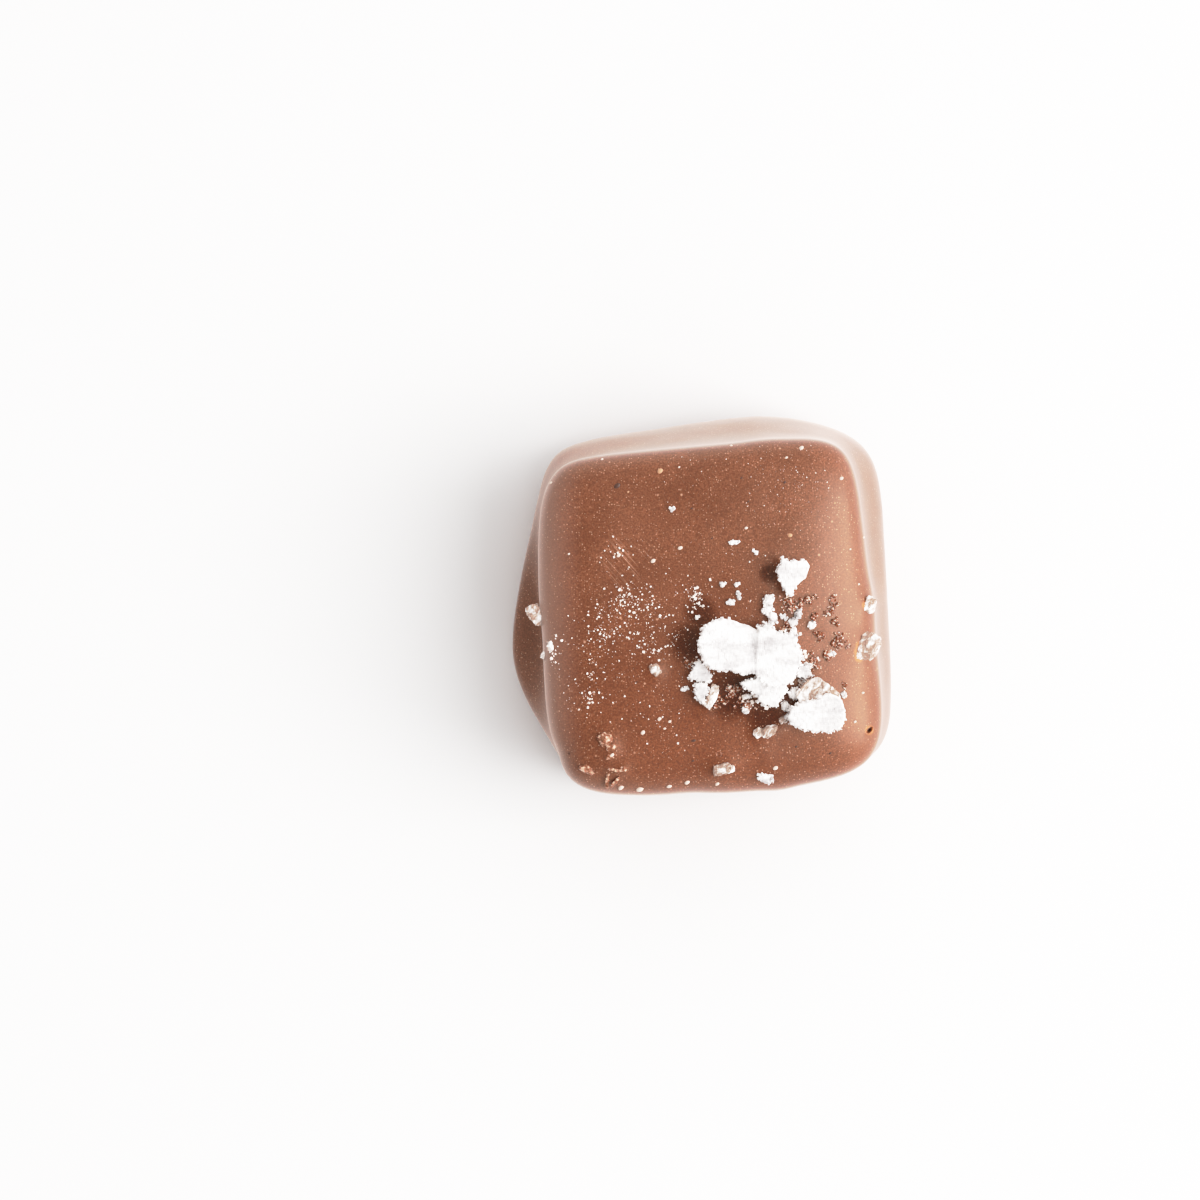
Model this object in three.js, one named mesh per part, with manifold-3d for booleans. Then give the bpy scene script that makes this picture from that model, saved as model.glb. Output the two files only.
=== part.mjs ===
import * as THREE from 'three';
import { mergeVertices } from 'three/addons/utils/BufferGeometryUtils.js';
import Module from 'manifold-3d';

// A salted caramel: a slumped square of soft caramel, enrobed whole in milk chocolate, with flake
// salt pressed into the top. The chocolate and the salt that is stuck to it are one fused solid.
// Millimetres, +Z up. The origin is on the flat base, under the middle of the body.

// ---------------------------------------------------------------- the chocolate body

const CROWN_HEIGHT = 15.0;      // highest point of the domed top, without the salt
const RIM_DROP = 2.0;           // height of the rounded rim, from the top down to the wall
const BELLY_HEIGHT = 3.4;       // height of the widest line of the slumped body
const BELLY_RISE_EAST = 2.6;    // how much higher that line runs on the +X side
const FOOT_TUCK = 1.35;         // how far the foot is drawn in from the belly to the base

// Outlines seen from above, about one shared centre. Each side is [the way it faces in degrees,
// its distance from the centre]. The softness rounds the corners between the sides: low is rounder.
const OUTLINE_CENTRE = [0.4, -1.0];
// A ripple is [its direction in degrees, its half width in degrees, how far it stands out].
const SHOULDER = {
  softness: 7.5,
  sides: [[6.6, 12.03], [95.0, 12.61], [173.2, 13.89], [189.8, 13.23], [269.9, 13.16], [296.3, 16.0]],
  ripples: [
    [5, 9, 0.18], [73, 6, 0.10], [133, 6, 0.12], [187, 10, -0.12], [211, 7, 0.08], [222, 4, -0.18],
    [264, 8, -0.13], [292, 5, 0.14],
  ],
};
const BELLY = {
  softness: 14,
  sides: [
    [2.7, 13.75], [64.0, 17.22], [98.8, 14.79], [117.8, 19.7], [168.4, 14.38], [210.9, 15.08],
    [271.6, 13.28], [304.5, 16.1],
  ],
  ripples: [[52, 8, 0.12]],
};

// Four values stand for the sides towards +X, +Y, -X and -Y.
const CROWN_SAG = [1.30, 0.45, 0.35, 0.55];  // how far the top has sunk where its rim rounds off
const SAG_SHAPE = 3;                         // high values keep the middle of the top flat
const RIM_TIGHTNESS = [9, 22, 8, 14];        // high values round only the outermost part of the top
const FLARE_FROM = [0, 0, 0.84, 0.25];       // share of the way down the wall where the foot spreads
const FLARE_SHAPE = [1.4, 1.2];              // how slowly the foot begins to spread, and how fully

const SEGMENTS = 96;                                                  // round the body
const CROWN_RINGS = [0.3, 0.55, 0.72, 0.82, 0.89, 0.94, 0.975, 0.995]; // share of the way to the rim
const WALL_RINGS = [0, 0.15, 0.3, 0.45, 0.6, 0.75, 0.86, 0.92, 0.96];  // share of the way down
const FOOT_RINGS = [0, 25, 50, 72, 90];                                // degrees round the foot's curve

const radians = THREE.MathUtils.degToRad;

function angleBetween(a, b) {
  return Math.abs(THREE.MathUtils.euclideanModulo(a - b + 180, 360) - 180);
}

/** Distance from the outline centre to a soft-cornered outline, in the direction of an angle. */
function outlineRadius(outline, angle) {
  let sum = 0;
  for (const [facing, distance] of outline.sides) {
    const nearness = Math.max(0, Math.cos(angle - radians(facing))) / distance;
    sum += nearness ** outline.softness;
  }
  let radius = sum ** (-1 / outline.softness);
  for (const [direction, halfWidth, rise] of outline.ripples) {
    const away = angleBetween(THREE.MathUtils.radToDeg(angle), direction) / halfWidth;
    radius += rise * Math.exp(-away * away);
  }
  return radius;
}

/** One number that turns smoothly between four compass values. */
function compassBlend(values, angle) {
  let blended = 0;
  values.forEach((value, quarter) => {
    blended += value * Math.max(0, Math.cos(angle - quarter * Math.PI / 2)) ** 2;
  });
  return blended;
}

/** Height of the top at a share of the way to the rim: it sags gently, then rounds off. */
function crownHeight(share, angle) {
  const within = Math.min(1, share);
  const sag = compassBlend(CROWN_SAG, angle) * within ** SAG_SHAPE;
  const rounding = 1 - Math.sqrt(1 - within ** compassBlend(RIM_TIGHTNESS, angle));
  return CROWN_HEIGHT - sag - RIM_DROP * rounding;
}

/** How far along the way from the middle to the rim a point of the plan lies, and its bearing. */
function rimShare(x, y) {
  const dx = x - OUTLINE_CENTRE[0];
  const dy = y - OUTLINE_CENTRE[1];
  const angle = Math.atan2(dy, dx);
  return [Math.hypot(dx, dy) / outlineRadius(SHOULDER, angle), angle];
}

/** Height of the top surface over a point of the plan. */
function surfaceHeight(x, y) {
  return crownHeight(...rimShare(x, y));
}

function bellyHeight(angle) {
  return BELLY_HEIGHT + BELLY_RISE_EAST * Math.max(0, Math.cos(angle)) ** 2;
}

/** A point of the wall: 0 is the shoulder rim and 1 the belly. */
function wallPoint(share, angle) {
  const from = compassBlend(FLARE_FROM, angle);
  const spread = Math.max(0, (share - from) / (1 - from));
  const eased = Math.sin(0.5 * Math.PI * spread ** FLARE_SHAPE[0]) ** FLARE_SHAPE[1];
  const radius = THREE.MathUtils.lerp(outlineRadius(SHOULDER, angle), outlineRadius(BELLY, angle), eased);
  return [radius, THREE.MathUtils.lerp(crownHeight(1, angle), bellyHeight(angle), share)];
}

/** A point of the rounded foot: 0 degrees is the belly and 90 the edge of the flat base. */
function footPoint(turn, angle) {
  const radius = outlineRadius(BELLY, angle) - FOOT_TUCK * (1 - Math.cos(radians(turn)));
  return [radius, turn === 90 ? 0 : bellyHeight(angle) * (1 - Math.sin(radians(turn)))];
}

/** The rings of the body from the top down, each a rule for radius and height at an angle. */
function bodyRings() {
  const crown = CROWN_RINGS.map((share) => (angle) => [
    share * outlineRadius(SHOULDER, angle),
    crownHeight(share, angle),
  ]);
  const wall = WALL_RINGS.map((share) => (angle) => wallPoint(share, angle));
  const foot = FOOT_RINGS.map((turn) => (angle) => footPoint(turn, angle));
  return [...crown, ...wall, ...foot];
}

function bodyGeometry() {
  const [cx, cy] = OUTLINE_CENTRE;
  const rings = bodyRings();
  const positions = [cx, cy, CROWN_HEIGHT];
  for (const ring of rings) {
    for (let step = 0; step < SEGMENTS; step++) {
      const angle = 2 * Math.PI * step / SEGMENTS;
      const [radius, height] = ring(angle);
      positions.push(cx + radius * Math.cos(angle), cy + radius * Math.sin(angle), height);
    }
  }
  positions.push(cx, cy, 0);
  const baseCentre = positions.length / 3 - 1;
  const at = (ring, step) => 1 + ring * SEGMENTS + step % SEGMENTS;
  const last = rings.length - 1;
  const faces = [];
  for (let step = 0; step < SEGMENTS; step++) {
    faces.push(0, at(0, step), at(0, step + 1));
    for (let ring = 0; ring < last; ring++) {
      faces.push(at(ring, step), at(ring + 1, step), at(ring + 1, step + 1));
      faces.push(at(ring, step), at(ring + 1, step + 1), at(ring, step + 1));
    }
    faces.push(at(last, step), baseCentre, at(last, step + 1));
  }
  return indexedGeometry(positions, faces);
}

// ---------------------------------------------------------------- the salt

// Broad flakes. Each has its centre, the corners of its outline about it, how far its top stands
// above the chocolate, its thickness, and how its top leans (rise per millimetre along X and Y).
const FLAKES = [
  { // heart-shaped flake, lying alone
    centre: [6.1, 2.2], rise: 1.35, thickness: 0.8, lean: [-0.1, 0.05],
    corners: [
      [0, -1.8], [0.4, -1.0], [1.2, -0.2], [1.4, 0.5], [1.1, 1.0], [-0.2, 0.9], [-0.7, 1.2], [-0.8, 0.6],
      [-1.1, 0.3], [-0.9, -0.4], [-0.5, -1.2],
    ],
  },
  { // broad square plate, tipped up at its outer side
    centre: [1.6, -3.1], rise: 1.65, thickness: 0.75, lean: [-0.09, -0.06],
    corners: [
      [2.0, -1.8], [2.3, 0.1], [2.2, 1.1], [1.6, 1.5], [0.6, 1.8], [-0.1, 2.1], [-1.4, 1.8], [-2.1, 1.1],
      [-2.2, 0.1], [-1.9, -1.1], [-1.1, -1.8], [0.2, -1.8], [1.4, -2.1],
    ],
  },
  { // middle of the heap, upper block
    centre: [5.35, -3.75], rise: 1.75, thickness: 1.3, lean: [0, 0.04],
    corners: [
      [-1.7, 2.0], [-1.9, -1.5], [-0.9, -2.4], [0.4, -2.1], [1.1, -1.6], [1.5, -0.5], [1.4, 0.5],
      [1.1, 1.5], [-0.2, 1.7], [-0.9, 2.3],
    ],
  },
  { // middle of the heap, lower wedge
    centre: [4.3, -6.2], rise: 1.45, thickness: 1.0, lean: [0.05, 0.1],
    corners: [
      [-2.0, 0.5], [-1.0, -0.2], [-0.2, -1.1], [0.7, -1.3], [1.4, -0.4], [1.6, 0.6], [0.5, 1.1], [-1.0, 0.8],
    ],
  },
  { // small flake below the plate
    centre: [-0.4, -5.05], rise: 0.75, thickness: 0.6, lean: [0, 0],
    corners: [[-0.7, 0.3], [-0.9, -0.4], [-0.1, -0.6], [0.7, -0.7], [0.8, -0.1], [0.4, 0.6], [-0.2, 0.9]],
  },
  { // its lower neighbour
    centre: [-0.25, -6.4], rise: 0.9, thickness: 0.75, lean: [0, 0],
    corners: [[-0.55, 0.6], [-0.6, -0.1], [-0.3, -0.7], [0.15, -0.9], [0.25, -0.3], [0.45, 0.3], [0.2, 0.8]],
  },
  { // large rounded flake at the lower right
    centre: [7.9, -7.9], rise: 1.5, thickness: 1.1, lean: [0.05, 0.08],
    corners: [
      [-2.1, -0.2], [-1.8, -0.9], [-0.6, -1.3], [0.8, -1.4], [2.0, -1.1], [2.2, 0.1], [1.8, 1.1],
      [0.9, 1.5], [-0.2, 1.0], [-1.2, 0.7], [-1.8, 0.4],
    ],
  },
  { // clear crystal plate against its upper side
    centre: [7.75, -6.35], rise: 1.1, thickness: 0.9, lean: [0, 0.05],
    corners: [
      [-1.3, 0], [-1.1, -0.9], [0.1, -1.0], [1.6, -1.0], [2.1, -0.8], [1.9, -0.1], [1.2, 0.5],
      [0.4, 1.1], [-0.5, 0.8],
    ],
  },
  { // crumbly bridge between the heap and the large rounded flake
    centre: [7.15, -4.95], rise: 1.0, thickness: 0.7, lean: [0, 0],
    corners: [[-0.6, 0.3], [-0.5, -0.4], [0.1, -0.5], [0.5, -0.2], [0.4, 0.3], [0.1, 0.6]],
  },
];

const FLAKE_FOOT = 0.6;      // width of the part of a flake that is sunk, as a share of the flake
const FLAKE_SINK = 0.35;     // how deep that foot is set in the chocolate
const FLAKE_BEVEL = 0.08;    // height of the worn top edge
const FLAKE_TOP = 0.94;      // width of the top inside the worn edge, as a share of the flake

// Blocky crystals and crumbs: [x, y, length, width, height, turn in degrees, share that stands
// proud of the chocolate].
const BLOCKS = [
  // crumbs that trail up from the heap
  [4.61, 0.30, 0.85, 0.75, 0.80, 15, 0.75],
  [4.50, -0.42, 0.80, 0.70, 0.80, 40, 0.75],
  [4.85, -1.05, 0.70, 0.90, 0.95, 5, 0.75],
  [6.75, -0.75, 0.45, 0.75, 0.60, -12, 0.75],
  [6.35, -1.35, 0.75, 0.55, 0.60, 30, 0.75],
  [5.70, -0.97, 0.60, 0.30, 0.35, -15, 0.75],
  [6.43, -1.95, 0.45, 0.50, 0.60, 0, 0.75],
  [7.70, -1.55, 0.60, 0.50, 0.50, 30, 0.60],
  [9.18, -3.66, 0.45, 0.40, 0.40, -30, 0.70],
  [6.45, -6.50, 0.80, 0.90, 0.90, 20, 0.75],
  [5.80, -7.45, 0.75, 0.70, 0.80, 35, 0.70],
  // crystals below and to the left of the heap
  [0.44, -6.74, 2.10, 0.85, 0.95, 66, 0.75],
  [-1.51, -6.17, 0.55, 0.22, 0.25, 0, 0.70],
  [3.09, -6.75, 0.55, 0.30, 0.40, 10, 0.70],
  [2.87, -7.72, 0.50, 0.40, 0.40, -30, 0.70],
  [5.65, -8.40, 0.75, 0.65, 0.55, 20, 0.60],
  [3.85, -9.35, 0.90, 0.75, 0.60, 40, 0.65],
  [4.65, -9.20, 1.60, 0.95, 0.75, 38, 0.65],
  [-3.66, -4.82, 0.95, 1.10, 0.70, 20, 0.50],
  // crystals by the +X rim
  [12.02, -0.08, 1.10, 1.45, 1.00, -15, 0.60],
  [11.85, -3.20, 1.90, 2.50, 1.35, -28, 0.62],
  // crystals on the -X rim
  [-12.35, -0.85, 1.30, 1.80, 1.10, 25, 0.55],
  [-11.20, -3.10, 0.70, 1.00, 0.70, 10, 0.50],
  [-11.75, -3.75, 0.50, 0.80, 0.50, -20, 0.50],
  // crystals half drowned in the chocolate towards -Y
  [-7.25, -9.80, 1.20, 1.10, 0.80, 35, 0.60],
  [-6.82, -10.45, 0.85, 0.75, 0.60, -20, 0.60],
  [-6.95, -11.10, 0.80, 0.55, 0.50, 10, 0.60],
  [-5.93, -12.00, 0.55, 0.55, 0.45, 25, 0.60],
  [-6.65, -12.05, 1.30, 0.34, 0.55, -14, 0.68],
  [-7.10, -12.75, 0.34, 1.55, 0.55, -3, 0.68],
  [-6.45, -12.85, 0.34, 1.50, 0.55, -38, 0.68],
  [-8.60, -12.05, 1.30, 0.70, 0.60, -28, 0.65],
  [1.35, -12.05, 1.80, 1.05, 0.90, 15, 0.58],
  [4.40, -12.70, 1.20, 0.75, 0.80, -20, 0.60],
  // loose grains
  [2.37, 0.62, 0.25, 0.55, 0.28, 22, 0.75],
  [1.78, 0.12, 0.55, 0.38, 0.35, -10, 0.75],
  [1.28, 1.42, 0.45, 0.35, 0.30, 20, 0.70],
  [2.29, 1.42, 0.30, 0.25, 0.25, 0, 0.70],
  [2.07, 4.47, 0.75, 0.28, 0.25, 5, 0.60],
  [3.60, 3.74, 0.40, 0.28, 0.25, -35, 0.60],
  [-2.42, 6.86, 0.35, 0.35, 0.25, 10, 0.60],
  [-0.61, -0.97, 0.28, 0.32, 0.28, -20, 0.75],
  [10.05, -6.63, 0.30, 0.45, 0.30, -20, 0.70],
];

// Loose grains lie in patches that are dense in the middle: [x, y, reach along X and Y, how many,
// smallest and largest size]. Only grains from GRAIN_KEPT up are solid here, the rest is dust.
const PATCHES = [
  // dry salt
  [-6.50, -0.90, 6.2, 4.6, 330, 0.03, 0.17],
  [-7.43, -0.61, 1.0, 0.8, 30, 0.04, 0.24],
  [-7.65, -2.13, 1.0, 0.8, 26, 0.04, 0.22],
  [-5.70, 0.50, 1.2, 0.9, 26, 0.04, 0.20],
  [-4.75, -0.17, 1.8, 1.5, 60, 0.04, 0.20],
  [-0.76, 0.48, 1.5, 1.4, 60, 0.05, 0.26],
  [-4.02, -3.36, 1.9, 1.6, 60, 0.04, 0.24],
  [-8.40, -6.30, 3.6, 5.4, 130, 0.03, 0.17],
  [-8.20, -7.10, 0.9, 1.0, 24, 0.04, 0.22],
  [-4.02, -8.80, 5.5, 4.4, 90, 0.03, 0.17],
  [-6.49, 3.67, 1.3, 1.2, 34, 0.04, 0.18],
  [4.68, 8.96, 8.5, 5.0, 260, 0.02, 0.09],
  [6.85, -4.45, 1.5, 2.4, 60, 0.10, 0.32],
  [3.38, -6.99, 1.4, 1.2, 40, 0.10, 0.36],
  [-0.40, -4.70, 1.3, 1.2, 30, 0.10, 0.32],
  [-11.00, -3.40, 1.0, 1.8, 50, 0.06, 0.36],
  [-1.60, -1.80, 11.5, 11.5, 300, 0.02, 0.10],
  // salt wetted by the chocolate
  [7.25, 0.10, 0.5, 0.5, 8, 0.18, 0.44],
  [7.75, 0.35, 0.5, 0.6, 9, 0.16, 0.36],
  [9.32, 0.26, 0.5, 1.0, 26, 0.13, 0.30],
  [8.90, -0.75, 0.6, 0.45, 13, 0.15, 0.36],
  [8.00, -1.10, 0.6, 0.7, 13, 0.15, 0.38],
  [9.40, -1.25, 0.45, 0.5, 9, 0.15, 0.34],
  [6.10, 0.00, 1.0, 1.3, 34, 0.15, 0.42],
  [5.75, -1.90, 0.7, 1.0, 20, 0.15, 0.40],
  [9.75, -2.75, 1.1, 0.9, 44, 0.15, 0.38],
  [8.25, -2.30, 0.7, 0.7, 14, 0.14, 0.34],
  [8.80, -3.75, 0.5, 0.5, 10, 0.20, 0.50],
  [8.00, -4.20, 0.6, 0.9, 18, 0.14, 0.34],
  [10.10, -5.98, 0.3, 0.3, 6, 0.20, 0.40],
  [2.15, -6.26, 1.1, 0.9, 26, 0.16, 0.44],
  [2.87, -7.35, 1.2, 0.9, 26, 0.15, 0.40],
  [1.06, -6.99, 1.0, 1.0, 18, 0.14, 0.36],
  [-1.20, -4.30, 0.5, 0.5, 8, 0.14, 0.30],
];
const GRAIN_KEPT = 0.29;
const GRAIN_PROUD = 0.7;      // share of a grain that stands proud of the chocolate
const GRAIN_RARITY = 4;       // the higher, the fewer grains are large
const RIM_SHARE = 0.96;       // no grain lies nearer to the rim than this share of the way
const SCATTER_SEED = 20861;

const CORNER_WEAR = 0.12;     // how unevenly the corners of a block are worn, as a share of its size
const BLOCK_SEED = 7331;

/** Repeatable random numbers from 0 to 1. */
function randomSource(seed) {
  let state = seed;
  return () => {
    state = (state * 1664525 + 1013904223) % 4294967296;
    return state / 4294967296;
  };
}

/** A flake: its foot is sunk, its plate spreads out above it, and its top edge is worn. */
function flakeGeometry({ centre, rise, thickness, lean, corners }) {
  const [cx, cy] = centre;
  const ground = surfaceHeight(cx, cy);
  const levels = [
    [FLAKE_FOOT, -FLAKE_SINK, 0],
    [1, rise - thickness, 1],
    [1, rise - FLAKE_BEVEL, 1],
    [FLAKE_TOP, rise, 1],
  ];
  const positions = [];
  for (const [width, lift, leaning] of levels) {
    for (const [dx, dy] of corners) {
      const tip = leaning * (lean[0] * dx + lean[1] * dy);
      positions.push(cx + width * dx, cy + width * dy, ground + lift + tip);
    }
  }
  const count = corners.length;
  const bottom = THREE.ShapeUtils.triangulateShape(corners.map(([x, y]) => new THREE.Vector2(x, y)), []);
  const faces = [];
  for (const [a, b, c] of bottom) {
    const topStart = (levels.length - 1) * count;
    faces.push(a, c, b, topStart + a, topStart + b, topStart + c);
  }
  for (let level = 0; level < levels.length - 1; level++) {
    for (let step = 0; step < count; step++) {
      const low = level * count + step;
      const lowNext = level * count + (step + 1) % count;
      faces.push(low, lowNext, lowNext + count, low, lowNext + count, low + count);
    }
  }
  return indexedGeometry(positions, faces);
}

/** A salt block with unevenly worn corners, set in the chocolate by the share that isn't proud. */
function blockGeometry([x, y, length, width, height, turn, proud], random) {
  const geometry = new THREE.BoxGeometry(length, width, height);
  geometry.deleteAttribute('normal');
  geometry.deleteAttribute('uv');
  const block = mergeVertices(geometry);
  const corner = block.getAttribute('position');
  for (let index = 0; index < corner.count; index++) {
    corner.setXYZ(
      index,
      corner.getX(index) * (1 + CORNER_WEAR * (random() * 2 - 1)),
      corner.getY(index) * (1 + CORNER_WEAR * (random() * 2 - 1)),
      corner.getZ(index) * (1 + CORNER_WEAR * (random() * 2 - 1)),
    );
  }
  block.rotateZ(radians(turn));
  block.translate(x, y, surfaceHeight(x, y) + height * (proud - 0.5));
  return block;
}

/** A place along one axis of a patch, from -1 to 1 and mostly near 0. */
function bellDraw(random) {
  return (random() + random() + random() - 1.5) / 1.5;
}

/** The larger grains of every patch, as blocks. */
function scatteredGrains() {
  const random = randomSource(SCATTER_SEED);
  const grains = [];
  for (const [cx, cy, reachX, reachY, count, smallest, largest] of PATCHES) {
    for (let made = 0; made < count; made++) {
      const x = cx + reachX * bellDraw(random);
      const y = cy + reachY * bellDraw(random);
      const span = THREE.MathUtils.lerp(smallest, largest, random() ** GRAIN_RARITY);
      const turn = 180 * random();
      const [share] = rimShare(x, y);
      if (span < GRAIN_KEPT || share > RIM_SHARE) continue;
      grains.push([x, y, span, span, span, turn, GRAIN_PROUD]);
    }
  }
  return grains;
}

// ---------------------------------------------------------------- fusing

function indexedGeometry(positions, faces) {
  const geometry = new THREE.BufferGeometry();
  geometry.setAttribute('position', new THREE.Float32BufferAttribute(positions, 3));
  geometry.setIndex(faces);
  return geometry;
}

const wasm = await Module();
wasm.setup();

function toSolid(geometry) {
  return new wasm.Manifold(new wasm.Mesh({
    numProp: 3,
    vertProperties: new Float32Array(geometry.getAttribute('position').array),
    triVerts: new Uint32Array(geometry.getIndex().array),
  }));
}

/** Joins all geometries. The largest piece of the result has no sealed hollow and no loose scrap. */
function fuse(geometries) {
  let joined = toSolid(geometries[0]);
  for (const geometry of geometries.slice(1)) joined = joined.add(toSolid(geometry));
  const pieces = joined.decompose().sort((a, b) => b.volume() - a.volume());
  const mesh = pieces[0].getMesh();
  return indexedGeometry(Array.from(mesh.vertProperties), Array.from(mesh.triVerts));
}

function candyGeometry() {
  const random = randomSource(BLOCK_SEED);
  const flakes = FLAKES.map((flake) => flakeGeometry(flake));
  const blocks = [...BLOCKS, ...scatteredGrains()].map((block) => blockGeometry(block, random));
  const candy = fuse([bodyGeometry(), ...flakes, ...blocks]);
  candy.computeVertexNormals();
  return candy;
}

const milkChocolate = new THREE.MeshStandardMaterial({ color: 0x966149, roughness: 0.4, metalness: 0 });

const candy = new THREE.Mesh(candyGeometry(), milkChocolate);
candy.name = 'candy';

const part = new THREE.Group();
part.add(candy);

export default part;
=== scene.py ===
"""Salted caramel candy: milk chocolate coating, flake salt, clear crystals, dust and a plain studio."""

import math
from functools import partial

import bmesh
import bpy
import numpy as np
from bpy.props import FloatProperty, FloatVectorProperty, IntProperty, PointerProperty
from mathutils import Euler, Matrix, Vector, noise


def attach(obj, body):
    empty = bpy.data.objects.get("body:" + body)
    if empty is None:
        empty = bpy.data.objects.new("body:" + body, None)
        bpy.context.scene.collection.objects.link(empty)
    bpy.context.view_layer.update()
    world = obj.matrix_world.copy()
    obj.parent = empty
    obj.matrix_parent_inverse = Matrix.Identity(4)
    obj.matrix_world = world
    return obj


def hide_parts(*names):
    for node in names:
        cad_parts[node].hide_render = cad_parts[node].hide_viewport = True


bl_info = {
    "name": "Salted caramel candy",
    "version": (1, 0, 0),
    "blender": (4, 5, 0),
    "location": "3D View > Sidebar > Candy",
    "description": "Enrobed caramel square with flake salt, built piece by piece",
    "category": "Add Mesh",
}

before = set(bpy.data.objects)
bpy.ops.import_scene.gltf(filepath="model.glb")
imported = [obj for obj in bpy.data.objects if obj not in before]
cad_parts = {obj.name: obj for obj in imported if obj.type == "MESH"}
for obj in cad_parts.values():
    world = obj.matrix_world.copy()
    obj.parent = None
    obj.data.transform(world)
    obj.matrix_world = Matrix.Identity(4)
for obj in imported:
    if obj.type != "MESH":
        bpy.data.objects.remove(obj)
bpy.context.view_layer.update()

MM = 0.001  # every table below is in millimetres, and meshes are made in metres
NODE = "candy"

# ---- sizes of the chocolate body

OUTLINE_CENTRE = (0.4, -1.0)

# Each side is (the way it faces in degrees, its distance from the centre), and each ripple is
# (its direction, its half width in degrees, how far it stands out).
SHOULDER = {
    "softness": 7.5,
    "sides": (
        (6.6, 12.03), (95.0, 12.61), (173.2, 13.89), (189.8, 13.23), (269.9, 13.16), (296.3, 16.0),
    ),
    "ripples": (
        (5, 9, 0.18), (73, 6, 0.10), (133, 6, 0.12), (187, 10, -0.12), (211, 7, 0.08),
        (222, 4, -0.18), (264, 8, -0.13), (292, 5, 0.14),
    ),
}
BELLY = {
    "softness": 14.0,
    "sides": (
        (2.7, 13.75), (64.0, 17.22), (98.8, 14.79), (117.8, 19.7), (168.4, 14.38), (210.9, 15.08),
        (271.6, 13.28), (304.5, 16.1),
    ),
    "ripples": ((52, 8, 0.12),),
}

# Four values stand for the sides towards +X, +Y, -X and -Y.
CROWN_SAG = (1.30, 0.45, 0.35, 0.55)       # how far the top has sunk where its rim begins to round
SAG_SHAPE = 3.0                            # high values keep the middle of the top flat
RIM_TIGHTNESS = (9.0, 22.0, 8.0, 14.0)     # high values round only the outermost part of the top
FLARE_FROM = (0.0, 0.0, 0.84, 0.25)        # share of the way down the wall where the foot spreads
FLARE_SHAPE = (1.4, 1.2)                   # how slowly the foot begins to spread, and how fully

# Soft swells and hollows of the skin: (x, y, reach along, reach across, turn in degrees, height).
SWELLS = (
    (8.3, -2.4, 2.4, 0.9, -30, -0.05), (10.4, -7.0, 1.2, 2.2, -15, 0.05), (-4.2, 7.4, 3.2, 1.6, 12, -0.05),
    (3.4, 8.4, 3.4, 1.8, -8, 0.05), (-9.2, 1.2, 1.8, 3.4, 0, 0.06), (-1.5, -10.6, 3.0, 1.2, 5, 0.05),
    (7.6, -11.0, 2.2, 1.0, 18, -0.06), (-6.6, -11.3, 1.6, 1.4, 0, 0.08),
)
SKIN_WAVES = ((5.5, 0.055), (1.9, 0.016), (0.55, 0.004))   # (length, height) of the uneven skin
WALL_WAVES = ((4.6, 0.075), (1.6, 0.020))

# The places of a lip and of an edge are shares of the reach. The depth of the pinhole is painted near
# black as painted shade, over shares of its larger reach.
PINHOLE = {
    "centre": (12.01, -9.24), "reach": (0.15, 0.27), "turn": -42, "depth": 0.5, "lip": 0.03,
    "lip_at": 1.35, "lip_width": 0.4, "edge": 1.15, "steepness": 0.6, "painted_shade": "3a1a0a",
    "painted_shade_reach": (0.3, 0.8),
}
BUBBLE = {
    "centre": (0.93, -10.93), "radius": 0.18, "lip": 0.02, "lip_width": 0.25, "hollow": 0.02,
    "hollow_width": 0.6,
}
MENISCUS = (0.32, 0.75)   # how high the skin climbs a sunk crystal and how far round it, for its size
CROWN_CROWDING = 1.5      # high values crowd the rings of the top towards its rim
UPPER_HALF = 8.0          # faces above this height belong to the top
TINY = 0.0001             # tells the rim and the base from the wall
RIM_FADE = 0.06           # the relief of the top fades out over this last share of the way

# ---- the salt

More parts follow.
